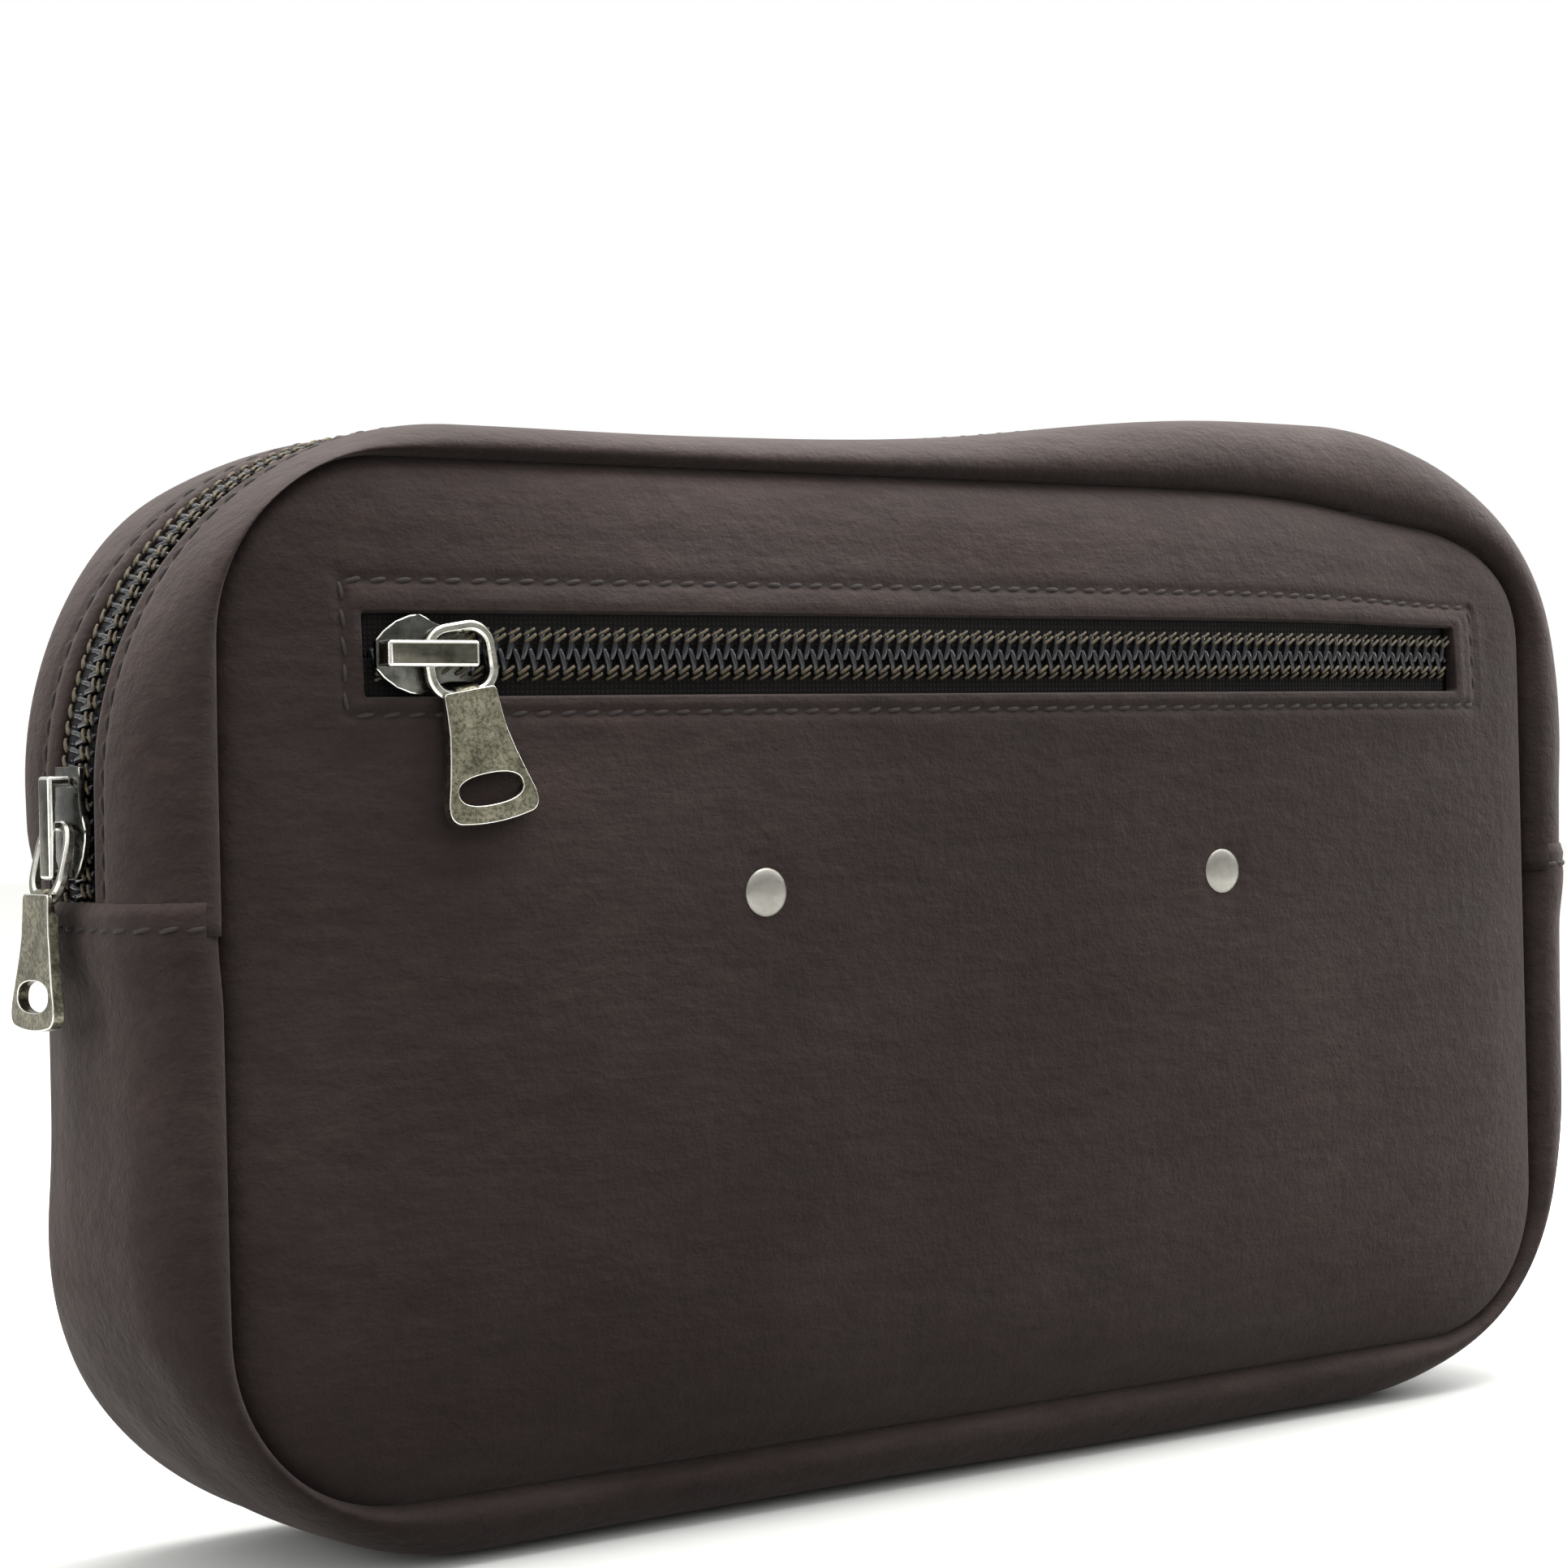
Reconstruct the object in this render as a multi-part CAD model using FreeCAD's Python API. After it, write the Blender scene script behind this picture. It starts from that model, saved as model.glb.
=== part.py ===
import FreeCAD, Part
import math
import os

V = FreeCAD.Vector

# Waist pack standing on its base. Millimetres. X is the length, -Y is the front, Z is up.
# The origin is the middle of the flat base.

# ---- driving dimensions -------------------------------------------------------------
BAG_HALF_LENGTH = 128.0
BAG_HEIGHT = 150.0
BAG_CORNER_R = 48.0
SEAM_Y = 20.5            # front and back seams lie at -SEAM_Y and +SEAM_Y
EDGE_Y = 15.5            # the gusset is full size between -EDGE_Y and +EDGE_Y
SEAM_SIDE_INSET = 10.6
SEAM_TOP_INSET = 5.2
SEAM_BOTTOM_INSET = 8.9
SEAM_CORNER_R = 24.0
LEATHER = 2.0
FACE_Y = 26.3            # front panel round the pocket slot
CROWN_Y = 30.9           # front panel at the middle of its crown
BACK_Y = 24.6            # back of the back panel

ZIP_END_Z = 88.0         # where the zip stops on each flank
ZIP_GAP_HALF = 5.6       # half of the gap between the leather strips
TAPE_HALF_WIDTH = 13.0
POCKET_TAPE_HALF = 8.8   # the pocket's tape stays below the panel's edge roll
TAPE_OUT = -2.1          # outer face of the tape, from the leather's face
TAPE_IN = -2.6
COIL_OUT = -0.6
COIL_INNER = 0.7
COIL_OUTER = 3.1

SLOT_LEFT_X = -99.6
SLOT_RIGHT_X = 96.6
SLOT_LOW_Z = 113.1
SLOT_HIGH_Z = 124.3
POCKET_Z = 0.5 * (SLOT_LOW_Z + SLOT_HIGH_Z)

SLIDER_LENGTH = 15.0
SLIDER_HALF_WIDTH = 5.2
SLIDER_TAIL_HALF_WIDTH = 3.6
SLIDER_SHOULDER = 7.3    # from the nose tip to the widest place
PLATE_LOW = -0.25
PLATE_HIGH = 0.65
BACK_PLATE = 0.8
MAIN_BACK_PLATE_LOW = -5.35    # the main zip runs deeper under the leather
POCKET_BACK_PLATE_LOW = -3.75
BRIDGE_START = 0.6
BRIDGE_LENGTH = 13.2
BRIDGE_HALF_WIDTH = 1.75
BRIDGE_LOW = 2.85
BRIDGE_HIGH = 3.85
BRIDGE_POST = 1.4
RING_PLANE = 1.8
WIRE_R = 0.65
RING_LONG = 9.2          # between wire centres, away from the bridge
RING_SHORT = 8.6
RING_CORNER = 1.7
TAB_LENGTH = 18.0
TAB_TOP_HALF = 3.95
TAB_BOTTOM_HALF = 6.65
TAB_THICK = 1.5
TAB_HOLE_HALF = 4.7
TAB_HOLE_R = 1.9
TAB_EYE_R = 1.05
TAB_EYE_HALF = 1.7
TAB_SHOULDER = 1.6       # top edge of the flared plate, below the hinge line
POCKET_TAB_LEAN = 6.0    # the tab's free end lies a little further out
MAIN_TAB_LEAN = 3.0
MAIN_RING_LEAN = 13.0    # the folded leather edge pushes the hanging ring outwards
TAB_EYE_CLEARANCE = 0.06

MAIN_NOSE_Z = 90.4
POCKET_NOSE_X = -98.8
POCKET_LEG = 7.4         # ring leg, from the nose tip
POCKET_RING_DROP = 1.55
PULL_TILT = 9.0          # the pocket's ring and tab hang a little askew
MAIN_LEG = 7.4

RIVET_X = 41.7
RIVET_Z = 86.3
RIVET_R = 3.4
RIVET_RISE = 1.0
RIVET_POST_R = 1.2

STRAP_WIDTH = 30.0
STRAP_THICK = 1.8
STRAP_Z = 78.0
STRAP_FLOOR_Z = 17.4
TAB_LEATHER = 5.0
TAB_WIDTH = 34.0
BELT_TAB_LENGTH = 20.0
BUCKLE_Z = 19.2
BUCKLE_WIDTH = 38.4
BUCKLE_THICK = 11.0
SOCKET_LENGTH = 34.0
SOCKET_BACK = 6.0        # solid end that the strap is sewn round
SOCKET_WINDOW_X = 12.0
SOCKET_WINDOW = 10.0
SOCKET_AT = (-6.0, 97.0)
PLUG_AT = (52.0, 172.0)
PLUG_HALF = 16.5
PLUG_THICK = 9.0
PLUG_BASE = 12.0
TONGUE_THICK = 4.8
LATCH_PIVOT = (13.9, 9.5)
LATCH_ROOT_R = 1.5
RUN_Y = 132.0            # the long strap's straight run behind the bag
KEEPER_AT = 8.0
KEEPER_LENGTH = 14.0
KEEPER_HALF = (3.2, 17.0)
KEEPER_BORE_HALF = (1.9, 15.5)


# ---- helpers ------------------------------------------------------------------------
def outline(side, top, bottom, corner, y):
    """Closed rounded rectangle in the plane y, inset from the bag's outer size."""
    x = BAG_HALF_LENGTH - side
    z0 = bottom
    z1 = BAG_HEIGHT - top
    r = corner
    d = r * math.sqrt(0.5)
    pts = [(-x + r, z0), (x - r, z0), (x, z0 + r), (x, z1 - r),
           (x - r, z1), (-x + r, z1), (-x, z1 - r), (-x, z0 + r)]
    mids = [(x - r + d, z0 + r - d), (x - r + d, z1 - r + d),
            (-x + r - d, z1 - r + d), (-x + r - d, z0 + r - d)]
    at = [V(px, y, pz) for px, pz in pts]
    mid = [V(px, y, pz) for px, pz in mids]
    edges = []
    for k in range(4):
        a = at[2 * k]
        b = at[2 * k + 1]
        c = at[(2 * k + 2) % 8]
        edges.append(Part.LineSegment(a, b).toShape())
        edges.append(Part.Arc(b, mid[k], c).toShape())
    return Part.Wire(edges)


def outer_outline(inset, y):
    return outline(inset, inset, inset, BAG_CORNER_R - inset, y)


def seam_outline(inset, y):
    return outline(SEAM_SIDE_INSET + inset, SEAM_TOP_INSET + inset,
                   SEAM_BOTTOM_INSET + inset, SEAM_CORNER_R - 0.8 * inset, y)


def loft(wires):
    return Part.makeLoft(wires, True, True)


def slab(wire, y0, y1):
    return Part.Face(wire).extrude(V(0, y1 - y0, 0))


def box(x0, x1, y0, y1, z0, z1):
    return Part.makeBox(x1 - x0, y1 - y0, z1 - z0, V(x0, y0, z0))


def ring_band(inset_out, inset_in, y0, y1):
    """A band that follows the bag's outline between two insets."""
    outer = slab(outer_outline(inset_out, y0), y0, y1)
    inner = slab(outer_outline(inset_in, y0 - 1), y0 - 1, y1 + 1)
    return outer.cut(inner)


def polygon(points):
    return Part.makePolygon(points + [points[0]])


def export(name, shape):
    shape.exportStep("parts/" + name + ".step")
    size = shape.BoundBox
    print("%-26s solids %d valid %s volume %9.1f  x %7.1f %7.1f  y %6.1f %6.1f  z %6.1f %6.1f" % (
        name, len(shape.Solids), shape.isValid(), shape.Volume,
        size.XMin, size.XMax, size.YMin, size.YMax, size.ZMin, size.ZMax))


# ---- leather shell ------------------------------------------------------------------
def gusset():
    """Band round the bag: rolls out from both seams to the bag's full outline."""
    def body(t):
        front = loft([seam_outline(t, -SEAM_Y), outer_outline(t, -EDGE_Y)])
        back = loft([outer_outline(t, EDGE_Y), seam_outline(t, SEAM_Y)])
        middle = slab(outer_outline(t, -EDGE_Y), -EDGE_Y, EDGE_Y)
        return front.fuse([middle, back])

    shell = body(0).cut(body(LEATHER))
    big = BAG_HALF_LENGTH + 5
    low = shell.common(box(-big, big, -30, 30, -5, ZIP_END_Z))
    top = box(-big, big, -30, 30, ZIP_END_Z, BAG_HEIGHT + 5)
    front = shell.common(top).common(box(-big, big, -30, -ZIP_GAP_HALF, 0, 200))
    back = shell.common(top).common(box(-big, big, ZIP_GAP_HALF, 30, 0, 200))
    return low, front, back


def panel(sign, steps):
    """Crowned panel: a shell whose rim sits on the seam. steps is (inset, y) from rim to face."""
    outer = loft([seam_outline(i, sign * y) for i, y in steps])
    hollow = [(i + LEATHER, y - (LEATHER if k else 0)) for k, (i, y) in enumerate(steps)]
    hollow[0] = (steps[0][0] + LEATHER, steps[0][1] - 0.01)
    return outer.cut(loft([seam_outline(i, sign * y) for i, y in hollow]))


def crown(inset, depth):
    """Raised middle of the front panel, below the pocket slot."""
    low = outline(34.0 + inset, 55.0 + inset, 28.0 + inset, 12.0, -FACE_Y + depth)
    high = outline(54.0 + inset, 60.0 + inset, 44.0 + inset, 8.0, -CROWN_Y + depth)
    return loft([low, high])


def front_panel():
    steps = [(0.4, SEAM_Y), (2.2, FACE_Y - 1.8), (6.0, FACE_Y - 0.6), (11.0, FACE_Y)]
    shell = panel(-1, steps).fuse(crown(0, 0)).cut(crown(0.5, LEATHER))
    slot = box(SLOT_LEFT_X, SLOT_RIGHT_X, -FACE_Y - 2, -FACE_Y + 4, SLOT_LOW_Z, SLOT_HIGH_Z)
    shell = shell.cut(slot)
    for side in (-1, 1):
        hole = Part.makeCylinder(RIVET_POST_R + 0.15, 6, V(side * RIVET_X, -CROWN_Y - 1, RIVET_Z),
                                 V(0, 1, 0))
        shell = shell.cut(hole)
    return shell


def back_panel():
    return panel(1, [(0.4, SEAM_Y), (3.0, BACK_Y - 1.0), (6.0, BACK_Y)])


def seam_binding(sign):
    """Bound seam allowance inside the bag, behind a panel's rim."""
    y = sign * (SEAM_Y - 0.2)
    depth = -sign * 3.0
    outer = slab(seam_outline(2.7, y), 0, depth)
    inner = slab(seam_outline(3.9, y + sign), 0, depth - sign * 2)
    return outer.cut(inner)


def back_stiffener():
    y = SEAM_Y - 0.2
    return slab(seam_outline(8.0, y), 0, 1.4)


# ---- lining and pouch ---------------------------------------------------------------
def main_lining():
    depth = EDGE_Y - 0.4
    outer = slab(outer_outline(4.3, -depth), -depth, depth)
    inner = slab(outer_outline(4.9, -depth + 0.6), -depth + 0.6, depth - 0.6)
    big = BAG_HALF_LENGTH
    mouth = box(-big, big, -7.2, 7.2, ZIP_END_Z - 4, BAG_HEIGHT)
    return outer.cut(inner).cut(mouth)


def pocket_pouch():
    outer = box(-103, 103, -22.1, -16.6, 26, 130)
    inner = box(-102.6, 102.6, -21.7, -17.0, 26.4, 129.6)
    mouth = box(SLOT_LEFT_X, SLOT_RIGHT_X, -23, -21, SLOT_LOW_Z - 1.0, SLOT_HIGH_Z + 1.0)
    return outer.cut(inner).cut(mouth)


# ---- zips ---------------------------------------------------------------------------
def main_zip(sign):
    """Tape and coil of one side; sign is -1 for the front side."""
    lo, hi = sorted((sign * COIL_INNER, sign * TAPE_HALF_WIDTH))
    keep = box(-200, 200, -30, 30, ZIP_END_Z - 8, 200)
    tape = ring_band(-TAPE_OUT, -TAPE_IN, lo, hi).common(keep)
    lo, hi = sorted((sign * COIL_INNER, sign * COIL_OUTER))
    keep = box(-200, 200, -30, 30, ZIP_END_Z + 0.2, 200)
    coil = ring_band(-COIL_OUT, -TAPE_OUT, lo, hi).common(keep)
    return tape, coil


def pocket_zip(sign):
    lo, hi = sorted((POCKET_Z + sign * COIL_INNER, POCKET_Z + sign * POCKET_TAPE_HALF))
    tape = box(SLOT_LEFT_X - 5, SLOT_RIGHT_X + 5, -FACE_Y - TAPE_OUT, -FACE_Y - TAPE_IN, lo, hi)
    lo, hi = sorted((POCKET_Z + sign * COIL_INNER, POCKET_Z + sign * COIL_OUTER))
    coil = box(SLOT_LEFT_X + 0.3, SLOT_RIGHT_X - 0.3, -FACE_Y - COIL_OUT, -FACE_Y - TAPE_OUT, lo, hi)
    return tape, coil


# ---- slider, in its own frame: nose at the origin, tail towards +X, outward is +Z ---
def slider_outline(grow):
    n = 0.5 - grow
    w = SLIDER_HALF_WIDTH + grow
    t = SLIDER_TAIL_HALF_WIDTH + grow
    s = SLIDER_SHOULDER
    points = [(n, -1.8), (3.4, -w + 1.0), (s - 0.6, -w), (s + 1.8, -t - 0.4), (s + 3.6, -t),
              (SLIDER_LENGTH + grow, -t)]
    return points + [(x, -y) for x, y in reversed(points)]


def slider_body(back_low):
    def plate(z, thick, grow):
        wire = polygon([V(x, y, z) for x, y in slider_outline(grow)])
        return Part.Face(wire).extrude(V(0, 0, thick))

    front = plate(PLATE_LOW, PLATE_HIGH - PLATE_LOW, 0)
    back = plate(back_low, BACK_PLATE, -0.2)
    post = box(1.4, 5.0, -0.3, 0.3, back_low + 0.2, PLATE_HIGH - 0.2)
    return front.fuse([back, post])


def slider_bridge():
    w = BRIDGE_HALF_WIDTH
    x0 = BRIDGE_START
    x1 = BRIDGE_START + BRIDGE_LENGTH
    block = box(x0, x1, -w, w, PLATE_HIGH, BRIDGE_HIGH)
    return block.cut(box(x0 + BRIDGE_POST, x1 - BRIDGE_POST, -w - 1, w + 1, PLATE_HIGH - 1, BRIDGE_LOW))


def pull_ring():
    """Closed wire loop in the XY plane. The leg on x = 0 turns in the bridge."""
    a = RING_LONG
    b = 0.5 * RING_SHORT
    r = RING_CORNER
    d = r * (1 - math.sqrt(0.5))
    line = Part.LineSegment
    arc = Part.Arc
    path = Part.Wire([
        line(V(0, -b + r, 0), V(0, b - r, 0)).toShape(),
        arc(V(0, b - r, 0), V(d, b - d, 0), V(r, b, 0)).toShape(),
        line(V(r, b, 0), V(a - r, b, 0)).toShape(),
        arc(V(a - r, b, 0), V(a - d, b - d, 0), V(a, b - r, 0)).toShape(),
        line(V(a, b - r, 0), V(a, -b + r, 0)).toShape(),
        arc(V(a, -b + r, 0), V(a - d, -b + d, 0), V(a - r, -b, 0)).toShape(),
        line(V(a - r, -b, 0), V(r, -b, 0)).toShape(),
        arc(V(r, -b, 0), V(d, -b + d, 0), V(0, -b + r, 0)).toShape()])
    section = Part.Wire(Part.makeCircle(WIRE_R, V(0, 0, 0), V(0, 1, 0)))
    return path.makePipeShell([section], True, True)


def pull_tab(lean):
    """Flared tab hanging towards -Y from a hinge line on the X axis; outward is +Z."""
    top = -TAB_SHOULDER
    low = -TAB_LENGTH + TAB_EYE_R
    wire = polygon([V(-TAB_TOP_HALF, top, 0), V(TAB_TOP_HALF, top, 0),
                    V(TAB_TOP_HALF + 0.5, -6.0, 0), V(TAB_BOTTOM_HALF, low + 3.2, 0),
                    V(TAB_BOTTOM_HALF - 1.0, low + 0.8, 0), V(3.0, low, 0), V(-3.0, low, 0),
                    V(-TAB_BOTTOM_HALF + 1.0, low + 0.8, 0), V(-TAB_BOTTOM_HALF, low + 3.2, 0),
                    V(-TAB_TOP_HALF - 0.5, -6.0, 0)])
    plate = Part.Face(wire).extrude(V(0, 0, TAB_THICK))
    plate.translate(V(0, 0, -0.2))
    lug = box(-TAB_EYE_HALF, TAB_EYE_HALF, top - 0.5, 0, -0.2, TAB_EYE_R)
    plate = plate.fuse(lug)
    eye = Part.makeCylinder(TAB_EYE_R, 2 * TAB_EYE_HALF, V(-TAB_EYE_HALF, 0, 0), V(1, 0, 0))
    bore = Part.makeCylinder(WIRE_R + TAB_EYE_CLEARANCE, 2 * TAB_EYE_HALF + 2,
                             V(-TAB_EYE_HALF - 1, 0, 0), V(1, 0, 0))
    hole_y = low + 2.2 + TAB_HOLE_R
    flat = TAB_HOLE_HALF - TAB_HOLE_R
    hole = box(-flat, flat, hole_y - TAB_HOLE_R, hole_y + TAB_HOLE_R, -3, 3)
    ends = [Part.makeCylinder(TAB_HOLE_R, 6, V(s * flat, hole_y, -3)) for s in (-1, 1)]
    tab = plate.fuse(eye).cut(bore).cut(hole.fuse(ends))
    tab.rotate(V(0, 0, 0), V(1, 0, 0), -lean)
    return tab


def placed(shape, matrix):
    return shape.transformed(matrix, True)


def frame(origin, x_axis, y_axis, z_axis):
    return FreeCAD.Matrix(x_axis.x, y_axis.x, z_axis.x, origin.x,
                          x_axis.y, y_axis.y, z_axis.y, origin.y,
                          x_axis.z, y_axis.z, z_axis.z, origin.z,
                          0, 0, 0, 1)


def main_pull():
    """Slider on the left flank: nose down, outward is -X."""
    out = V(-1, 0, 0)
    up = V(0, 0, 1)
    side = out.cross(up)
    at = frame(V(-BAG_HALF_LENGTH, 0, MAIN_NOSE_Z), up, side, out)
    body = placed(slider_body(MAIN_BACK_PLATE_LOW), at)
    bridge = placed(slider_bridge(), at)
    leg = V(-BAG_HALF_LENGTH - RING_PLANE, 0, MAIN_NOSE_Z + MAIN_LEG)
    lean = math.radians(MAIN_RING_LEAN)
    down = V(-math.sin(lean), 0, -math.cos(lean))
    ring_out = V(-math.cos(lean), 0, math.sin(lean))
    ring = placed(pull_ring(), frame(leg, down, ring_out.cross(down), ring_out))
    bar = leg + down * RING_LONG
    tab = placed(pull_tab(MAIN_TAB_LEAN), frame(bar, up.cross(out), up, out))
    print("main ring axis", leg, "tab axis", bar)
    return body, bridge, ring, tab


def pocket_pull():
    """Slider at the pocket's left end: nose to the left, outward is -Y."""
    out = V(0, -1, 0)
    along = V(1, 0, 0)
    at = frame(V(POCKET_NOSE_X, -FACE_Y, POCKET_Z), along, out.cross(along), out)
    body = placed(slider_body(POCKET_BACK_PLATE_LOW), at)
    bridge = placed(slider_bridge(), at)
    tilt = math.radians(PULL_TILT)
    right = V(math.cos(tilt), 0, math.sin(tilt))
    up = V(-math.sin(tilt), 0, math.cos(tilt))
    leg = V(POCKET_NOSE_X + POCKET_LEG, -FACE_Y - RING_PLANE, POCKET_Z - POCKET_RING_DROP)
    ring = placed(pull_ring(), frame(leg, right, out.cross(right), out))
    bar = leg + right * (0.5 * RING_LONG) - up * (0.5 * RING_SHORT)
    tab = placed(pull_tab(POCKET_TAB_LEAN), frame(bar, right, up, out))
    print("pocket ring axis", leg, up, "tab axis", bar, right)
    return body, bridge, ring, tab


# ---- rivets -------------------------------------------------------------------------
def rivets():
    caps = []
    backs = []
    for side in (-1, 1):
        at = V(side * RIVET_X, -CROWN_Y, RIVET_Z)
        dome_r = (RIVET_R ** 2 + RIVET_RISE ** 2) / (2 * RIVET_RISE)
        centre = at + V(0, dome_r - RIVET_RISE, 0)
        dome = Part.makeSphere(dome_r, centre)
        cap = dome.common(Part.makeCylinder(RIVET_R, 4, at, V(0, -1, 0)))
        post = Part.makeCylinder(RIVET_POST_R, LEATHER + 0.9, at, V(0, 1, 0))
        caps.append(cap.fuse(post))
        disc = Part.makeCylinder(RIVET_R - 0.2, 0.8, at + V(0, LEATHER, 0), V(0, 1, 0))
        hole = Part.makeCylinder(RIVET_POST_R + 0.05, 2, at + V(0, LEATHER - 0.5, 0), V(0, 1, 0))
        backs.append(disc.cut(hole))
    return Part.makeCompound(caps), Part.makeCompound(backs)


# ---- belt ---------------------------------------------------------------------------
def upright_section(p, tangent, width, thick):
    """Upright rectangle across a strap at p; width is along Z."""
    flat = V(tangent.x, tangent.y, 0)
    flat.normalize()
    across = V(-flat.y, flat.x, 0) * (0.5 * thick)
    up = V(0, 0, 0.5 * width)
    return polygon([p + across + up, p - across + up, p - across - up, p + across - up])


def strap(points, count):
    curve = Part.BSplineCurve()
    curve.interpolate([V(*p) for p in points])
    first = curve.FirstParameter
    last = curve.LastParameter
    sections = []
    for k in range(count + 1):
        u = first + (last - first) * k / count
        sections.append(upright_section(curve.value(u), curve.tangent(u)[0], STRAP_WIDTH, STRAP_THICK))
    return loft(sections), curve.length()


def belt_tab(sign, heading):
    start = V(sign * 118.6, SEAM_Y + 0.4, STRAP_Z)
    way = V(sign * heading[0], heading[1], 0)
    way.normalize()
    end = start + way * BELT_TAB_LENGTH
    thick = [2.6, TAB_LEATHER, TAB_LEATHER]
    at = [start, start + way * 6.0, end]
    return loft([upright_section(p, way, TAB_WIDTH, t) for p, t in zip(at, thick)]), end


def buckle_socket(x, y):
    z = BUCKLE_Z
    w = 0.5 * BUCKLE_WIDTH
    t = 0.5 * BUCKLE_THICK
    shell = box(x, x + SOCKET_LENGTH, y - t, y + t, z - w, z + w)
    wall = 1.9
    inside = w - 3.0
    shell = shell.cut(box(x + SOCKET_BACK, x + SOCKET_LENGTH + 1, y - t + wall, y + t - wall,
                          z - inside, z + inside))
    window = SOCKET_WINDOW_X
    return shell.cut(box(x + window, x + window + SOCKET_WINDOW, y - 3.0, y + 3.0, z - w - 1, z + w + 1))


def buckle_plug(x, y):
    """Body of the plug and its middle tongue; the latch arms are separate."""
    z = BUCKLE_Z
    t = 0.5 * PLUG_THICK
    base = box(x, x + PLUG_BASE, y - t, y + t, z - PLUG_HALF, z + PLUG_HALF)
    s = 0.5 * TONGUE_THICK
    tongue = box(x + PLUG_BASE, x + PLUG_BASE + 20, y - s, y + s, z - 3.5, z + 3.5)
    return base.fuse(tongue)


def latch_arm(x, y, side):
    """Springy arm with an outward hook, hinged at the plug's body."""
    z = BUCKLE_Z
    s = 0.5 * TONGUE_THICK
    px, pz = LATCH_PIVOT
    corners = [(px, 11.0), (24.0, 12.2), (25.0, 15.6), (32.0, 12.4), (33.0, 9.6), (30.0, 8.9), (px, 8.0)]
    wire = polygon([V(x + cx, y - s, z + side * cz) for cx, cz in corners])
    root = Part.makeCylinder(LATCH_ROOT_R, 2 * s, V(x + px, y - s, z + side * pz), V(0, 1, 0))
    return Part.Face(wire).extrude(V(0, 2 * s, 0)).fuse(root)


def strap_keeper(x, y, z):
    half_y, half_z = KEEPER_HALF
    bore_y, bore_z = KEEPER_BORE_HALF
    outer = box(x, x + KEEPER_LENGTH, y - half_y, y + half_y, z - half_z, z + half_z)
    return outer.cut(box(x - 1, x + KEEPER_LENGTH + 1, y - bore_y, y + bore_y, z - bore_z, z + bore_z))


def belt():
    left_tab, left_end = belt_tab(-1, (-0.35, 0.94))
    right_tab, right_end = belt_tab(1, (0.7, 0.7))
    socket_x, socket_y = SOCKET_AT
    plug_x, plug_y = PLUG_AT
    low = STRAP_FLOOR_Z
    left_points = [tuple(left_end), (-106.0, 56, 50), (-96, 69, 31), (-78, 83, 20), (-50, 93, 18),
                   (-24, 97, BUCKLE_Z), (socket_x, socket_y, BUCKLE_Z)]
    left, left_length = strap(left_points, 24)
    right_points = [tuple(right_end), (148, 62, 64), (152, 92, 38), (134, 121, 20), (104, RUN_Y, low),
                    (80, RUN_Y, low), (55, RUN_Y, low), (30, RUN_Y, low), (5, RUN_Y, low),
                    (-30, 133, low), (-52, 144, low), (-50, 163, low), (-26, 172, low),
                    (10, 172, BUCKLE_Z), (30, 172, BUCKLE_Z), (plug_x, plug_y, BUCKLE_Z)]
    right, right_length = strap(right_points, 72)
    print("strap lengths", left_length, right_length)
    return {
        "belt_tab_left": left_tab,
        "belt_tab_right": right_tab,
        "belt_strap_left": left,
        "belt_strap_right": right,
        "buckle_socket": buckle_socket(socket_x, socket_y),
        "buckle_plug": buckle_plug(plug_x, plug_y),
        "buckle_latch_upper": latch_arm(plug_x, plug_y, 1),
        "buckle_latch_lower": latch_arm(plug_x, plug_y, -1),
        "strap_keeper": strap_keeper(KEEPER_AT, RUN_Y, low)}


# ---- build --------------------------------------------------------------------------
def main():
    os.makedirs("parts", exist_ok=True)
    nodes = {}
    low, strip_front, strip_back = gusset()
    nodes["gusset_lower"] = low
    nodes["gusset_strip_front"] = strip_front
    nodes["gusset_strip_back"] = strip_back
    nodes["front_panel"] = front_panel()
    nodes["back_panel"] = back_panel()
    nodes["front_seam_binding"] = seam_binding(-1)
    nodes["back_seam_binding"] = seam_binding(1)
    nodes["back_stiffener"] = back_stiffener()
    nodes["main_lining"] = main_lining()
    nodes["pocket_pouch"] = pocket_pouch()
    for sign, side in ((-1, "front"), (1, "back")):
        tape, coil = main_zip(sign)
        nodes["main_zip_tape_" + side] = tape
        nodes["main_zip_coil_" + side] = coil
    for sign, side in ((-1, "lower"), (1, "upper")):
        tape, coil = pocket_zip(sign)
        nodes["pocket_zip_tape_" + side] = tape
        nodes["pocket_zip_coil_" + side] = coil
    for place, pieces in (("main", main_pull()), ("pocket", pocket_pull())):
        for piece, shape in zip(("slider_body", "slider_bridge", "pull_ring", "pull_tab"), pieces):
            nodes[place + "_" + piece] = shape
    nodes["rivet_caps"], nodes["rivet_backs"] = rivets()
    nodes.update(belt())
    for name, shape in nodes.items():
        export(name, shape)
    print(len(nodes), "nodes")


main()
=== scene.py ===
# %% [markdown]
# # A leather waist pack, built round its measured frame
# The frame holds the hard facts: sizes, the zip sliders and how they move, the belt and its buckle.
# This lesson dresses that frame. Every soft piece is worked out as a mesh in numpy, in millimetres,
# and only the last helper turns millimetres into Blender's metres. Each cell makes one thing.

# %% Load the frame
import math
import bpy
import bmesh
import numpy as np
from mathutils import Matrix, Vector


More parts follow.
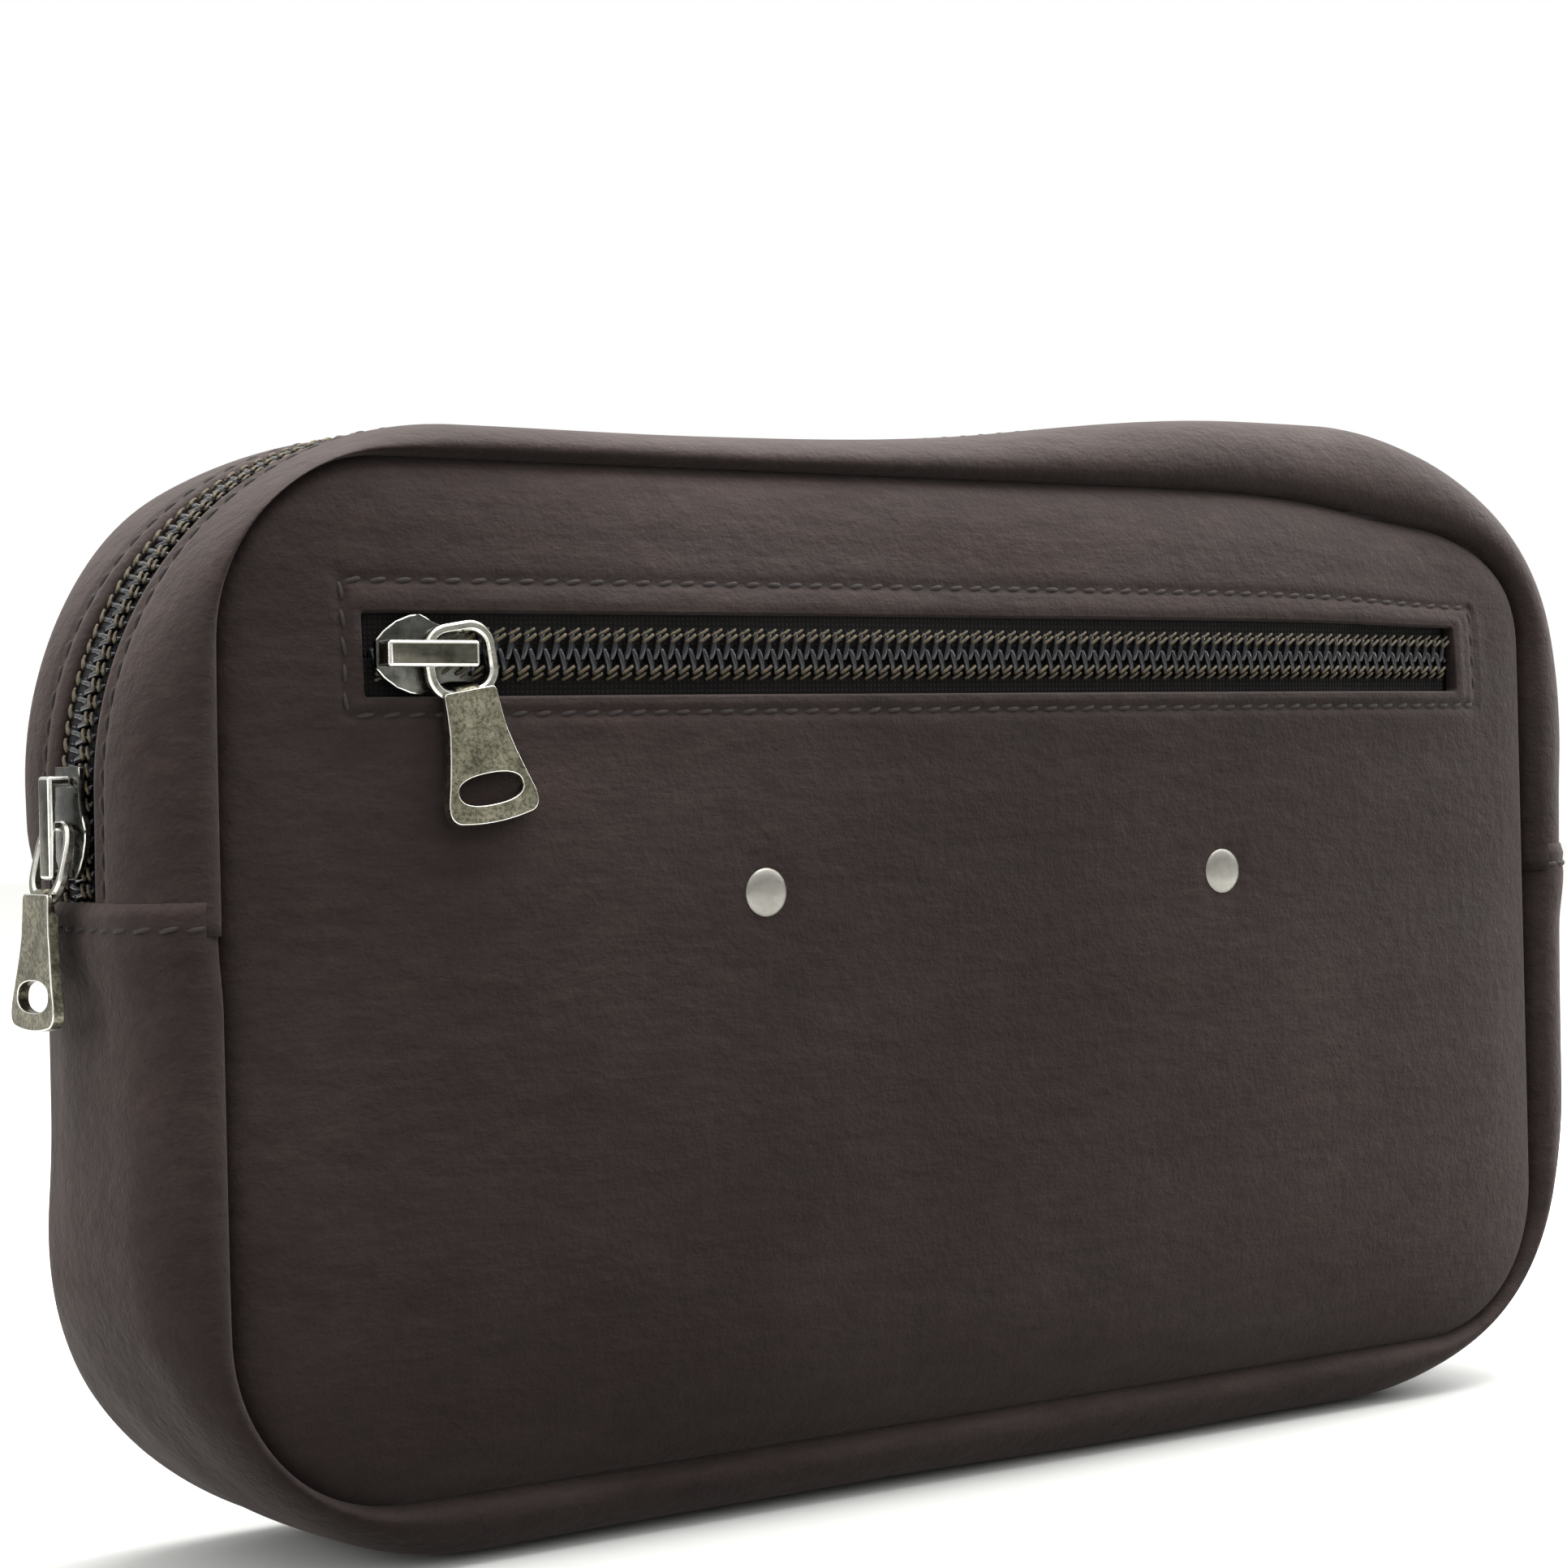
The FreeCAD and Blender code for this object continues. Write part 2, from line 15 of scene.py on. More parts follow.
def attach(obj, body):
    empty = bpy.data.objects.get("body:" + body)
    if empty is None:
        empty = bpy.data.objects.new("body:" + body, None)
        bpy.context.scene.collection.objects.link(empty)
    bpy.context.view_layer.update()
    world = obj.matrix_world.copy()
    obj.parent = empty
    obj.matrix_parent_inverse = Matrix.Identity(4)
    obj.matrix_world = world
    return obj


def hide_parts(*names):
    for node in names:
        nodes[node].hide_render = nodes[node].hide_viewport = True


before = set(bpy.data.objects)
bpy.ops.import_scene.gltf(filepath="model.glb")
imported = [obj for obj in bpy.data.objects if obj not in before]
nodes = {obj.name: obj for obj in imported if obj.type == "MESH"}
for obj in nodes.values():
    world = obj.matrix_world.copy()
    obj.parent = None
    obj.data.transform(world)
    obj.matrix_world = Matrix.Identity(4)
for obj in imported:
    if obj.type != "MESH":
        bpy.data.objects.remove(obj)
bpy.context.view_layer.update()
MM = 0.001


# %% [markdown]
# ## The camera
# The bag is seen from its left front, from a little below its top edge, with a short telephoto lens.
# Setting the camera first means that every later piece can be judged from the right place. The shift is
# small: the bag simply stands a little right of the lens axis.

# %% Camera
CAMERA_AT = Vector((-314.2, -427.4, 101.4)) * MM
CAMERA_YAW = math.radians(37.59)
CAMERA_ROLL = math.radians(-1.354)
CAMERA_LENS = 81.19
CAMERA_SHIFT = (-0.1101, -0.0046)

ahead = Vector((math.sin(CAMERA_YAW), math.cos(CAMERA_YAW), 0.0))
level = Vector((math.cos(CAMERA_YAW), -math.sin(CAMERA_YAW), 0.0))
upright = level.cross(ahead)
right = level * math.cos(CAMERA_ROLL) + upright * math.sin(CAMERA_ROLL)
up = upright * math.cos(CAMERA_ROLL) - level * math.sin(CAMERA_ROLL)
camera_data = bpy.data.cameras.new("camera")
camera_data.lens = CAMERA_LENS
camera_data.sensor_width = 36.0
camera_data.shift_x, camera_data.shift_y = CAMERA_SHIFT
camera = bpy.data.objects.new("camera", camera_data)
bpy.context.scene.collection.objects.link(camera)
turn = Matrix((right, up, -ahead)).transposed().to_4x4()
camera.matrix_world = Matrix.Translation(CAMERA_AT) @ turn
bpy.context.scene.camera = camera
bpy.context.scene.view_settings.view_transform = "Standard"
print("camera at", [round(v, 3) for v in CAMERA_AT])

# %% [markdown]
# ## Studio
# A pale floor, a white surround and a few large soft lamps. Nubuck has no highlights to place, so broad
# light that is much stronger from above shows its roundness. The surround therefore has two jobs that are
# kept apart: it is plain white where it is seen, and it lights the bag like a room with a bright ceiling.

# %% Floor, surround and lamps
ROOM = (1.6, 0.26, 0.62)


def studio():
    bpy.ops.mesh.primitive_plane_add(size=6.0, location=(0, 0.6, -0.0003))
    floor = bpy.context.object
    floor.name = "floor"
    paint = bpy.data.materials.new("floor_paper")
    paint.use_nodes = True
    shader = paint.node_tree.nodes["Principled BSDF"]
    shader.inputs["Base Color"].default_value = (0.79, 0.79, 0.775, 1)
    shader.inputs["Roughness"].default_value = 0.9
    shader.inputs["Specular IOR Level"].default_value = 0.1
    floor.data.materials.append(paint)
    floor.visible_diffuse = False
    world = bpy.data.worlds.new("surround")
    world.use_nodes = True
    tree = world.node_tree
    room = tree.nodes["Background"]
    direction = tree.nodes.new("ShaderNodeTexCoord")
    split = tree.nodes.new("ShaderNodeSeparateXYZ")
    tree.links.new(direction.outputs["Generated"], split.inputs["Vector"])
    height = tree.nodes.new("ShaderNodeMapRange")
    height.inputs["From Min"].default_value = -1.0
    tree.links.new(split.outputs["Z"], height.inputs["Value"])
    tones = tree.nodes.new("ShaderNodeValToRGB")
    greys = tones.color_ramp
    for place, grey in ((0.36, 0.015), (0.5, ROOM[1]), (0.72, ROOM[2]), (1.0, 1.0)):
        stop = greys.elements.new(place)
        stop.color = (grey, grey, grey * 0.98, 1)
    greys.elements.remove(greys.elements[0])
    greys.elements.remove(greys.elements[-1])
    tree.links.new(height.outputs["Result"], tones.inputs["Fac"])
    tree.links.new(tones.outputs["Color"], room.inputs["Color"])
    room.inputs["Strength"].default_value = ROOM[0]
    seen = tree.nodes.new("ShaderNodeBackground")
    seen.inputs["Color"].default_value = (1, 1, 1, 1)
    seen.inputs["Strength"].default_value = 1.0
    ray = tree.nodes.new("ShaderNodeLightPath")
    either = tree.nodes.new("ShaderNodeMixShader")
    tree.links.new(ray.outputs["Is Camera Ray"], either.inputs["Fac"])
    tree.links.new(room.outputs["Background"], either.inputs[1])
    tree.links.new(seen.outputs["Background"], either.inputs[2])
    tree.links.new(either.outputs["Shader"], tree.nodes["World Output"].inputs["Surface"])
    bpy.context.scene.world = world


def lamp(name, at, target, size, power):
    data = bpy.data.lights.new(name, "AREA")
    data.shape = "RECTANGLE"
    data.size, data.size_y = size
    data.energy = power
    lamp_object = bpy.data.objects.new(name, data)
    bpy.context.scene.collection.objects.link(lamp_object)
    lamp_object.location = at
    lamp_object.rotation_euler = (Vector(target) - Vector(at)).to_track_quat("-Z", "Y").to_euler()
    return lamp_object


studio()
lamp("top_softbox", (0.2, 0.05, 1.1), (0, 0, 0.1), (1.2, 0.9), 17)
lamp("right_softbox", (1.0, 0.0, 0.75), (0, 0, 0.08), (0.8, 0.8), 10)
lamp("left_softbox", (-1.2, 0.35, 0.35), (0, 0, 0.07), (0.7, 0.7), 4)
print("studio ready")

# %% [markdown]
# ## Small mesh tools
# Almost everything on a bag is a swept shape: a profile carried along a path. `swept` turns a table of points
# into such a surface, closed across the profile so that the leather has a real thickness, and `tube_table`
# carries a round section along a line for threads, stitches and zip coils.

# %% Mesh helpers
def mesh_piece(name, points, faces, material, body="bag", slot="leather", smooth=True):
    mesh = bpy.data.meshes.new(name)
    mesh.from_pydata((np.asarray(points, float) * MM).tolist(), [], faces)
    mesh.validate()
    work = bmesh.new()
    work.from_mesh(mesh)
    bmesh.ops.recalc_face_normals(work, faces=work.faces)
    work.to_mesh(mesh)
    work.free()
    mesh.shade_smooth() if smooth else mesh.shade_flat()
    piece = bpy.data.objects.new(name, mesh)
    bpy.context.scene.collection.objects.link(piece)
    mesh.materials.append(material)
    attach(piece, body)
    return piece


def grid_faces(rows, columns, close_rows, close_columns, start=0):
    """Quads over a rows by columns table of points."""
    faces = []
    for i in range(rows if close_rows else rows - 1):
        for j in range(columns if close_columns else columns - 1):
            a = i * columns + j
            b = i * columns + (j + 1) % columns
            c = ((i + 1) % rows) * columns + (j + 1) % columns
            d = ((i + 1) % rows) * columns + j
            faces.append((start + a, start + b, start + c, start + d))
    return faces


def swept(table, closed_path=False):
    """Points and faces of a closed section (second axis) carried along a path (first axis)."""
    rows, columns, _ = table.shape
    faces = grid_faces(rows, columns, closed_path, True)
    if not closed_path:
        faces.append(tuple(range(columns - 1, -1, -1)))
        faces.append(tuple((rows - 1) * columns + j for j in range(columns)))
    return table.reshape(-1, 3), faces


def unit(v):
    return v / np.maximum(np.linalg.norm(v, axis=-1, keepdims=True), 1e-9)


def tube_table(line, radius, sides=6, closed=False, squash=1.0, flat_axis=None):
    """A round or flattened section carried along a line of points."""
    line = np.asarray(line, float)
    if closed:
        tangent = unit(np.roll(line, -1, 0) - np.roll(line, 1, 0))
    else:
        tangent = unit(np.gradient(line, axis=0))
    frames = np.zeros_like(line)
    seed = np.array([0.31, 0.42, 0.85]) if flat_axis is None else np.asarray(flat_axis, float)
    side = seed - tangent[0] * seed.dot(tangent[0])
    for k in range(len(line)):
        source = side if flat_axis is None else seed
        side = source - tangent[k] * source.dot(tangent[k])
        side = side / max(np.linalg.norm(side), 1e-9)
        frames[k] = side
    other = np.cross(tangent, frames)
    angle = np.linspace(0, 2 * np.pi, sides, endpoint=False)
    wide = np.cos(angle)[None, :, None] * other[:, None, :]
    tall = np.sin(angle)[None, :, None] * frames[:, None, :] * squash
    return line[:, None, :] + radius * (wide + tall)


class Batch:
    """Collects many small shapes into one mesh."""

    def __init__(self):
        self.points = []
        self.faces = []
        self.count = 0

    def add(self, points, faces):
        self.points.append(np.asarray(points, float))
        self.faces += [tuple(i + self.count for i in f) for f in faces]
        self.count += len(points)

    def piece(self, name, material, body="bag", slot="leather"):
        return mesh_piece(name, np.concatenate(self.points), self.faces, material, body, slot)


def smoothstep(low, high, x):
    t = np.clip((x - low) / (high - low), 0, 1)
    return t * t * (3 - 2 * t)


def ripple(x, z, seed=0.0):
    """Slow, smooth unevenness from -1 to 1."""
    a = np.sin(x * 0.047 + z * 0.031 + 1.3 + seed) + np.sin(x * -0.029 + z * 0.058 + 0.4 + 2 * seed)
    b = np.sin(x * 0.083 - z * 0.071 + 2.1 + seed) * 0.6 + np.sin(x * 0.021 + z * 0.103 + seed) * 0.5
    return (a + b) / 3.1


# %% [markdown]
# ## Finishes
# Nubuck is leather whose face has been sanded to a fine nap. It scatters light almost evenly, greys a little
# towards glancing angles, and carries cloudy tone, very fine pores and a few specks of lint. All of it is
# built from noise in object space, so it needs no unwrapping and stays put when a part moves.

# %% Material helpers
def new_material(name):
    material = bpy.data.materials.new(name)
    material.use_nodes = True
    tree = material.node_tree
    return material, tree, tree.nodes["Principled BSDF"]


def noise(tree, scale, detail=3.0, roughness=0.55, stretch=None):
    coordinates = tree.nodes.new("ShaderNodeTexCoord")
    texture = tree.nodes.new("ShaderNodeTexNoise")
    texture.inputs["Scale"].default_value = scale
    texture.inputs["Detail"].default_value = detail
    texture.inputs["Roughness"].default_value = roughness
    if stretch is None:
        tree.links.new(coordinates.outputs["Object"], texture.inputs["Vector"])
        return texture
    mapping = tree.nodes.new("ShaderNodeMapping")
    mapping.inputs["Scale"].default_value = stretch
    tree.links.new(coordinates.outputs["Object"], mapping.inputs["Vector"])
    tree.links.new(mapping.outputs["Vector"], texture.inputs["Vector"])
    return texture


def ramp(tree, source, stops):
    node = tree.nodes.new("ShaderNodeValToRGB")
    band = node.color_ramp
    while len(band.elements) < len(stops):
        band.elements.new(0.5)
    for element, (place, colour) in zip(band.elements, stops):
        element.position = place
        element.color = (*colour, 1)
    tree.links.new(source, node.inputs["Fac"])
    return node.outputs["Color"]


def mix(tree, kind, factor, a, b):
    node = tree.nodes.new("ShaderNodeMix")
    node.data_type = "RGBA"
    node.blend_type = kind
    for value, socket in ((factor, node.inputs[0]), (a, node.inputs[6]), (b, node.inputs[7])):
        if isinstance(value, bpy.types.NodeSocket):
            tree.links.new(value, socket)
        elif isinstance(value, (int, float)):
            socket.default_value = value
        else:
            socket.default_value = (*value, 1)
    return node.outputs[2]


def bump(tree, height, strength, distance, before=None):
    node = tree.nodes.new("ShaderNodeBump")
    node.inputs["Strength"].default_value = strength
    node.inputs["Distance"].default_value = distance
    tree.links.new(height, node.inputs["Height"])
    if before is not None:
        tree.links.new(before, node.inputs["Normal"])
    return node.outputs["Normal"]


def math_node(tree, kind, a, b=None):
    node = tree.nodes.new("ShaderNodeMath")
    node.operation = kind
    for value, socket in zip((a, b), node.inputs):
        if isinstance(value, bpy.types.NodeSocket):
            tree.links.new(value, socket)
        elif value is not None:
            socket.default_value = value
    return node.outputs[0]


# %% [markdown]
# ## Leather
# Nubuck is buffed leather: matt, with a soft nap, cloudy tone and fine pores. Each of these is a layer.

# %% Leather
def nubuck(name, dark, light, lint=True):
    material, tree, shader = new_material(name)
    cloud = noise(tree, 14.0, 5.0, 0.6)
    streak = noise(tree, 60.0, 4.0, 0.6, stretch=(0.35, 1.0, 1.6))
    nap = noise(tree, 1500.0, 2.0, 0.7)
    colour = ramp(tree, cloud.outputs["Fac"], ((0.38, dark), (0.64, light)))
    soft = ramp(tree, streak.outputs["Fac"], ((0.3, (0.86, 0.86, 0.86)), (0.72, (1.1, 1.09, 1.08))))
    colour = mix(tree, "MULTIPLY", 1.0, colour, soft)
    fine = ramp(tree, nap.outputs["Fac"], ((0.3, (0.88, 0.88, 0.88)), (0.7, (1.1, 1.1, 1.1))))
    colour = mix(tree, "MULTIPLY", 1.0, colour, fine)
    combed = noise(tree, 330.0, 4.0, 0.65, stretch=(0.35, 1.0, 1.3))
    fibre = ramp(tree, combed.outputs["Fac"], ((0.33, (0.80, 0.79, 0.79)), (0.66, (1.17, 1.16, 1.15))))
    colour = mix(tree, "MULTIPLY", 1.0, colour, fibre)
    if lint:
        coordinates = tree.nodes.new("ShaderNodeTexCoord")
        cells = tree.nodes.new("ShaderNodeTexVoronoi")
        cells.inputs["Scale"].default_value = 62.0
        tree.links.new(coordinates.outputs["Object"], cells.inputs["Vector"])
        near = math_node(tree, "LESS_THAN", cells.outputs["Distance"], 0.017)
        split = tree.nodes.new("ShaderNodeSeparateColor")
        tree.links.new(cells.outputs["Color"], split.inputs["Color"])
        few = math_node(tree, "GREATER_THAN", split.outputs["Red"], 0.55)
        speck = math_node(tree, "MULTIPLY", near, few)
        speck = math_node(tree, "MULTIPLY", speck, 0.5)
        colour = mix(tree, "MIX", speck, colour, (0.34, 0.29, 0.27))
    tree.links.new(colour, shader.inputs["Base Color"])
    rough = ramp(tree, streak.outputs["Fac"], ((0.2, (0.66, 0.66, 0.66)), (0.8, (0.88, 0.88, 0.88))))
    tree.links.new(rough, shader.inputs["Roughness"])
    shader.inputs["Specular IOR Level"].default_value = 0.16
    shader.inputs["Sheen Weight"].default_value = 0.14
    shader.inputs["Sheen Roughness"].default_value = 0.5
    shader.inputs["Sheen Tint"].default_value = (0.9, 0.8, 0.76, 1)
    pores = noise(tree, 420.0, 3.0, 0.6)
    normal = bump(tree, pores.outputs["Fac"], 0.6, 0.0004)
    normal = bump(tree, combed.outputs["Fac"], 0.5, 0.0004, normal)
    normal = bump(tree, nap.outputs["Fac"], 0.45, 0.0002, normal)
    tree.links.new(normal, shader.inputs["Normal"])
    return material


LEATHER = nubuck("nubuck_dark_brown", (0.030, 0.0200, 0.0184), (0.052, 0.0375, 0.0345))
print("leather ready")


# %% [markdown]
# Cloth, plastic and metal follow the same pattern: a base tone, one or two scales of variation, and a
# fine bump. The weave is a pair of crossed waves, scaled to the real thread spacing.

# %% Cloth, coil, metal and plastic
def woven(name, colour, spacing, contrast=0.35, turn_degrees=0.0):
    material, tree, shader = new_material(name)
    coordinates = tree.nodes.new("ShaderNodeTexCoord")
    threads = []
    for axis in ("X", "Z", "Y"):
        wave = tree.nodes.new("ShaderNodeTexWave")
        wave.wave_type = "BANDS"
        wave.bands_direction = axis
        wave.inputs["Scale"].default_value = 0.314 / spacing
        wave.inputs["Distortion"].default_value = 0.6
        wave.inputs["Detail Scale"].default_value = 2.0
        mapping = tree.nodes.new("ShaderNodeMapping")
        mapping.inputs["Rotation"].default_value = (0, math.radians(turn_degrees), math.radians(turn_degrees))
        tree.links.new(coordinates.outputs["Object"], mapping.inputs["Vector"])
        tree.links.new(mapping.outputs["Vector"], wave.inputs["Vector"])
        threads.append(wave.outputs["Fac"])
    weave = math_node(tree, "MULTIPLY", threads[0], threads[1])
    weave = math_node(tree, "ADD", weave, math_node(tree, "MULTIPLY", threads[2], 0.3))
    dark = tuple(c * (1 - contrast) for c in colour)
    light = tuple(min(1, c * (1 + contrast)) for c in colour)
    tone = ramp(tree, weave, ((0.1, dark), (0.9, light)))
    cloud = noise(tree, 90.0, 3.0)
    soft = ramp(tree, cloud.outputs["Fac"], ((0.3, (0.85, 0.85, 0.85)), (0.7, (1.12, 1.12, 1.12))))
    tone = mix(tree, "MULTIPLY", 1.0, tone, soft)
    tree.links.new(tone, shader.inputs["Base Color"])
    shader.inputs["Roughness"].default_value = 0.85
    shader.inputs["Specular IOR Level"].default_value = 0.2
    shader.inputs["Sheen Weight"].default_value = 0.15
    normal = bump(tree, weave, 0.7, 0.0002)
    tree.links.new(normal, shader.inputs["Normal"])
    return material


def moulded(name, colour, roughness, grain_scale=900.0, strength=0.15, spread=0.12):
    material, tree, shader = new_material(name)
    grain = noise(tree, grain_scale, 2.0)
    dark = tuple(c * (1 - spread) for c in colour)
    light = tuple(min(1, c * (1 + spread)) for c in colour)
    tone = ramp(tree, grain.outputs["Fac"], ((0.3, dark), (0.7, light)))
    tree.links.new(tone, shader.inputs["Base Color"])
    shader.inputs["Roughness"].default_value = roughness
    tree.links.new(bump(tree, grain.outputs["Fac"], strength, 0.0001), shader.inputs["Normal"])
    return material


def plated(name, colour, tarnish, roughness, scratch=0.25, pit=0.0):
    material, tree, shader = new_material(name)
    shader.inputs["Metallic"].default_value = 1.0
    cloud = noise(tree, 320.0, 6.0, 0.7)
    brushed = noise(tree, 700.0, 4.0, 0.7, stretch=(0.15, 1.0, 1.0))
    tone = ramp(tree, cloud.outputs["Fac"], ((0.36, tarnish), (0.6, colour)))
    if pit:
        pits = noise(tree, 1900.0, 3.0, 0.8)
        spots = ramp(tree, pits.outputs["Fac"], ((0.40, (1 - pit,) * 3), (0.55, (1.0, 1.0, 1.0))))
        tone = mix(tree, "MULTIPLY", 1.0, tone, spots)
    tree.links.new(tone, shader.inputs["Base Color"])
    low = (max(0.05, roughness - 0.09),) * 3
    high = (min(1, roughness + 0.12),) * 3
    shine = ramp(tree, brushed.outputs["Fac"], ((0.3, low), (0.7, high)))
    tree.links.new(shine, shader.inputs["Roughness"])
    tree.links.new(bump(tree, brushed.outputs["Fac"], scratch, 0.00006), shader.inputs["Normal"])
    return material


TAPE = woven("zip_tape_weave", (0.012, 0.0105, 0.010), 0.0007, 0.5)
LINING = woven("lining_twill", (0.05, 0.036, 0.028), 0.0008, 0.3, 45.0)
BINDING = woven("binding_weave", (0.03, 0.022, 0.02), 0.0006)
WEBBING = woven("webbing_weave", (0.024, 0.020, 0.015), 0.0013, 0.45)
THREAD = moulded("sewing_thread", (0.026, 0.019, 0.018), 0.75, 2200.0, 0.5, 0.35)
COIL_THREAD = moulded("coil_thread", (0.105, 0.082, 0.048), 0.7, 1600.0, 0.4, 0.5)
COIL = moulded("nylon_coil", (0.022, 0.023, 0.028), 0.18, 800.0, 0.05)
PLASTIC = moulded("buckle_moulding", (0.016, 0.014, 0.013), 0.42)
BOARD = moulded("stiffener_board", (0.12, 0.10, 0.09), 0.8, 300.0, 0.4)
GUNMETAL = plated("dark_gunmetal", (0.10, 0.10, 0.09), (0.035, 0.035, 0.032), 0.28)
BRIGHT = plated("bright_bevel", (0.80, 0.79, 0.73), (0.62, 0.61, 0.56), 0.2)
BAR_FACE = plated("smoked_nickel", (0.13, 0.125, 0.10), (0.06, 0.058, 0.045), 0.2)
RING_FACE = plated("worn_nickel", (0.42, 0.41, 0.36), (0.25, 0.245, 0.21), 0.22)
ANTIQUE = plated("antique_nickel", (0.34, 0.32, 0.235), (0.15, 0.142, 0.10), 0.34, 0.6, 0.55)
RIVET = plated("satin_nickel", (0.30, 0.292, 0.262), (0.24, 0.233, 0.21), 0.38)
print(len(bpy.data.materials), "finishes")

# %% [markdown]
# ## The bag's two guiding outlines
# A gusset is a band sewn to a front and a back panel. Two rounded rectangles rule it: the outer one, where
# the band is widest, and the seam, a few millimetres inside it. Both are walked in the same eight steps,
# so that any point of the band is a mix of a point on each.

# %% Outlines
BAG_HALF = 128.0
BAG_TOP = 150.0
OUTER_R = 48.0
CORNER_X = BAG_HALF - OUTER_R
CORNER_LOW = OUTER_R
CORNER_HIGH = BAG_TOP - OUTER_R
SEAM_Y = 20.5
SEAM = dict(half=117.4, low=8.9, high=144.8, r=24.0)
OUTER = dict(half=BAG_HALF, low=0.0, high=BAG_TOP, r=OUTER_R)
ZIP_END_Z = 88.0
FLANK = CORNER_HIGH - CORNER_LOW
Q_ZIP_LEFT = (ZIP_END_Z - CORNER_LOW) / FLANK
Q_ZIP_RIGHT = 4 + (CORNER_HIGH - ZIP_END_Z) / FLANK


def corner_walk(t, flank, level_, r, middle_x, middle_z):
    """A quarter turn in the first quadrant: up the flank, round an arc, and along to the middle."""
    up_run = (level_ - r) - middle_z
    turn_run = 0.5 * math.pi * r
    along_run = (flank - r) - middle_x
    s = t * (up_run + turn_run + along_run)
    if s <= up_run:
        return flank, middle_z + s
    if s <= up_run + turn_run:
        angle = (s - up_run) / r
        return flank - r + r * math.cos(angle), level_ - r + r * math.sin(angle)
    return flank - r - (s - up_run - turn_run), level_


def outline(q, half, low, high, r):
    """Point of a rounded rectangle at step q, from 0 to 8, clockwise from the lower left flank."""
    q = q % 8.0
    step = int(q)
    t = q - step
    if step == 0:
        return -half, CORNER_LOW + t * FLANK
    if step == 1:
        x, z = corner_walk(t, half, high, r, CORNER_X, CORNER_HIGH)
        return -x, z
    if step == 2:
        return -CORNER_X + 2 * CORNER_X * t, high
    if step == 3:
        return corner_walk(1 - t, half, high, r, CORNER_X, CORNER_HIGH)
    if step == 4:
        return half, CORNER_HIGH - t * FLANK
    if step == 5:
        x, z = corner_walk(t, half, -low, r, CORNER_X, -CORNER_LOW)
        return x, -z
    if step == 6:
        return CORNER_X - 2 * CORNER_X * t, low
    x, z = corner_walk(1 - t, half, -low, r, CORNER_X, -CORNER_LOW)
    return -x, -z


STEP_LENGTH = [FLANK, 0.5 * math.pi * OUTER_R, 2 * CORNER_X, 0.5 * math.pi * OUTER_R] * 2


def stations(q0, q1, spacing):
    """Steps q from q0 to q1, about evenly spaced along the outer outline, corners of steps included."""
    cuts = [q0] + [float(k) for k in range(math.ceil(q0 + 1e-6), math.floor(q1 - 1e-6) + 1)] + [q1]
    out = []
    for a, b in zip(cuts[:-1], cuts[1:]):
        count = max(2, round((b - a) * STEP_LENGTH[int(a) % 8] / spacing))
        out += list(np.linspace(a, b, count, endpoint=False))
    return np.array(out + [q1])


# How far the filled bag stands outside its even outline, read along the outline's steps.
FULL_Q = [2.3, 2.45, 2.56, 2.66, 2.76, 2.88, 2.98, 3.1, 3.28, 3.42, 3.58, 3.78, 4.0, 4.3, 4.8, 5.4]
FULL_MM = [0.0, 0.5, 1.8, 3.4, 5.8, 7.0, 6.9, 6.3, 6.4, 7.3, 7.0, 4.6, 2.7, 2.1, 1.2, 0.0]


def fullness(q):
    """Outward swelling at steps q, smoothed."""
    spread = np.linspace(-0.12, 0.12, 9)
    return np.mean([np.interp(np.asarray(q) + d, FULL_Q, FULL_MM) for d in spread], 0)


def outward(points):
    """Outward unit normals of a clockwise open run of outline points."""
    t = unit(np.gradient(points, axis=0))
    return np.stack([-t[:, 1], t[:, 0]], 1)


def slump(x, z):
    """The seam's top right corner is drawn down by the weight of the filled front."""
    return 5.0 * np.exp(-((x - 101.0) / 27.0) ** 2) * smoothstep(118, 146, z)


def guide(q, name):
    """Points (x, z) of the outer outline or the seam."""
    table = np.array([outline(v, **(OUTER if name == "outer" else SEAM)) for v in q])
    if name == "outer":
        return table + fullness(q)[:, None] * outward(table)
    table[:, 1] -= slump(table[:, 0], table[:, 1])
    return table


print("outer outline", round(sum(STEP_LENGTH)), "mm round")

# %% [markdown]
# ## The gusset
# The gusset is three pieces of leather: one round the bottom, and two strips that carry the zip over the top.
# Each is a closed profile swept along the outline. Near both seams the band rolls forward like a fat lip
# and dives into the seam, which makes the dark groove round the panels.

# %% Gusset profile
STRIP_EDGE = 5.6
LIP = [(1.03, -18.2, 0), (1.0, -20.1, 0), (0.94, -21.5, 0), (0.80, -22.5, 0), (0.60, -22.3, 0),
       (0.38, -20.9, 0), (0.19, -18.7, 0), (0.07, -16.2, 0), (0.015, -13.6, 0)]


def spline(points, count):
    """Smooth curve through the given points (Catmull-Rom), sampled evenly in its parameter."""
    p = np.asarray(points, float)
    p = np.vstack([2 * p[0] - p[1], p, 2 * p[-1] - p[-2]])
    spans = len(p) - 3
    out = []
    for u in np.linspace(0, spans, count):
        k = min(int(u), spans - 1)
        t = u - k
        a, b, c, d = p[k:k + 4]
        out.append(0.5 * (2 * b + (c - a) * t + (2 * a - 5 * b + 4 * c - d) * t * t
                          + (3 * b - a - 3 * c + d) * t ** 3))
    return np.array(out)


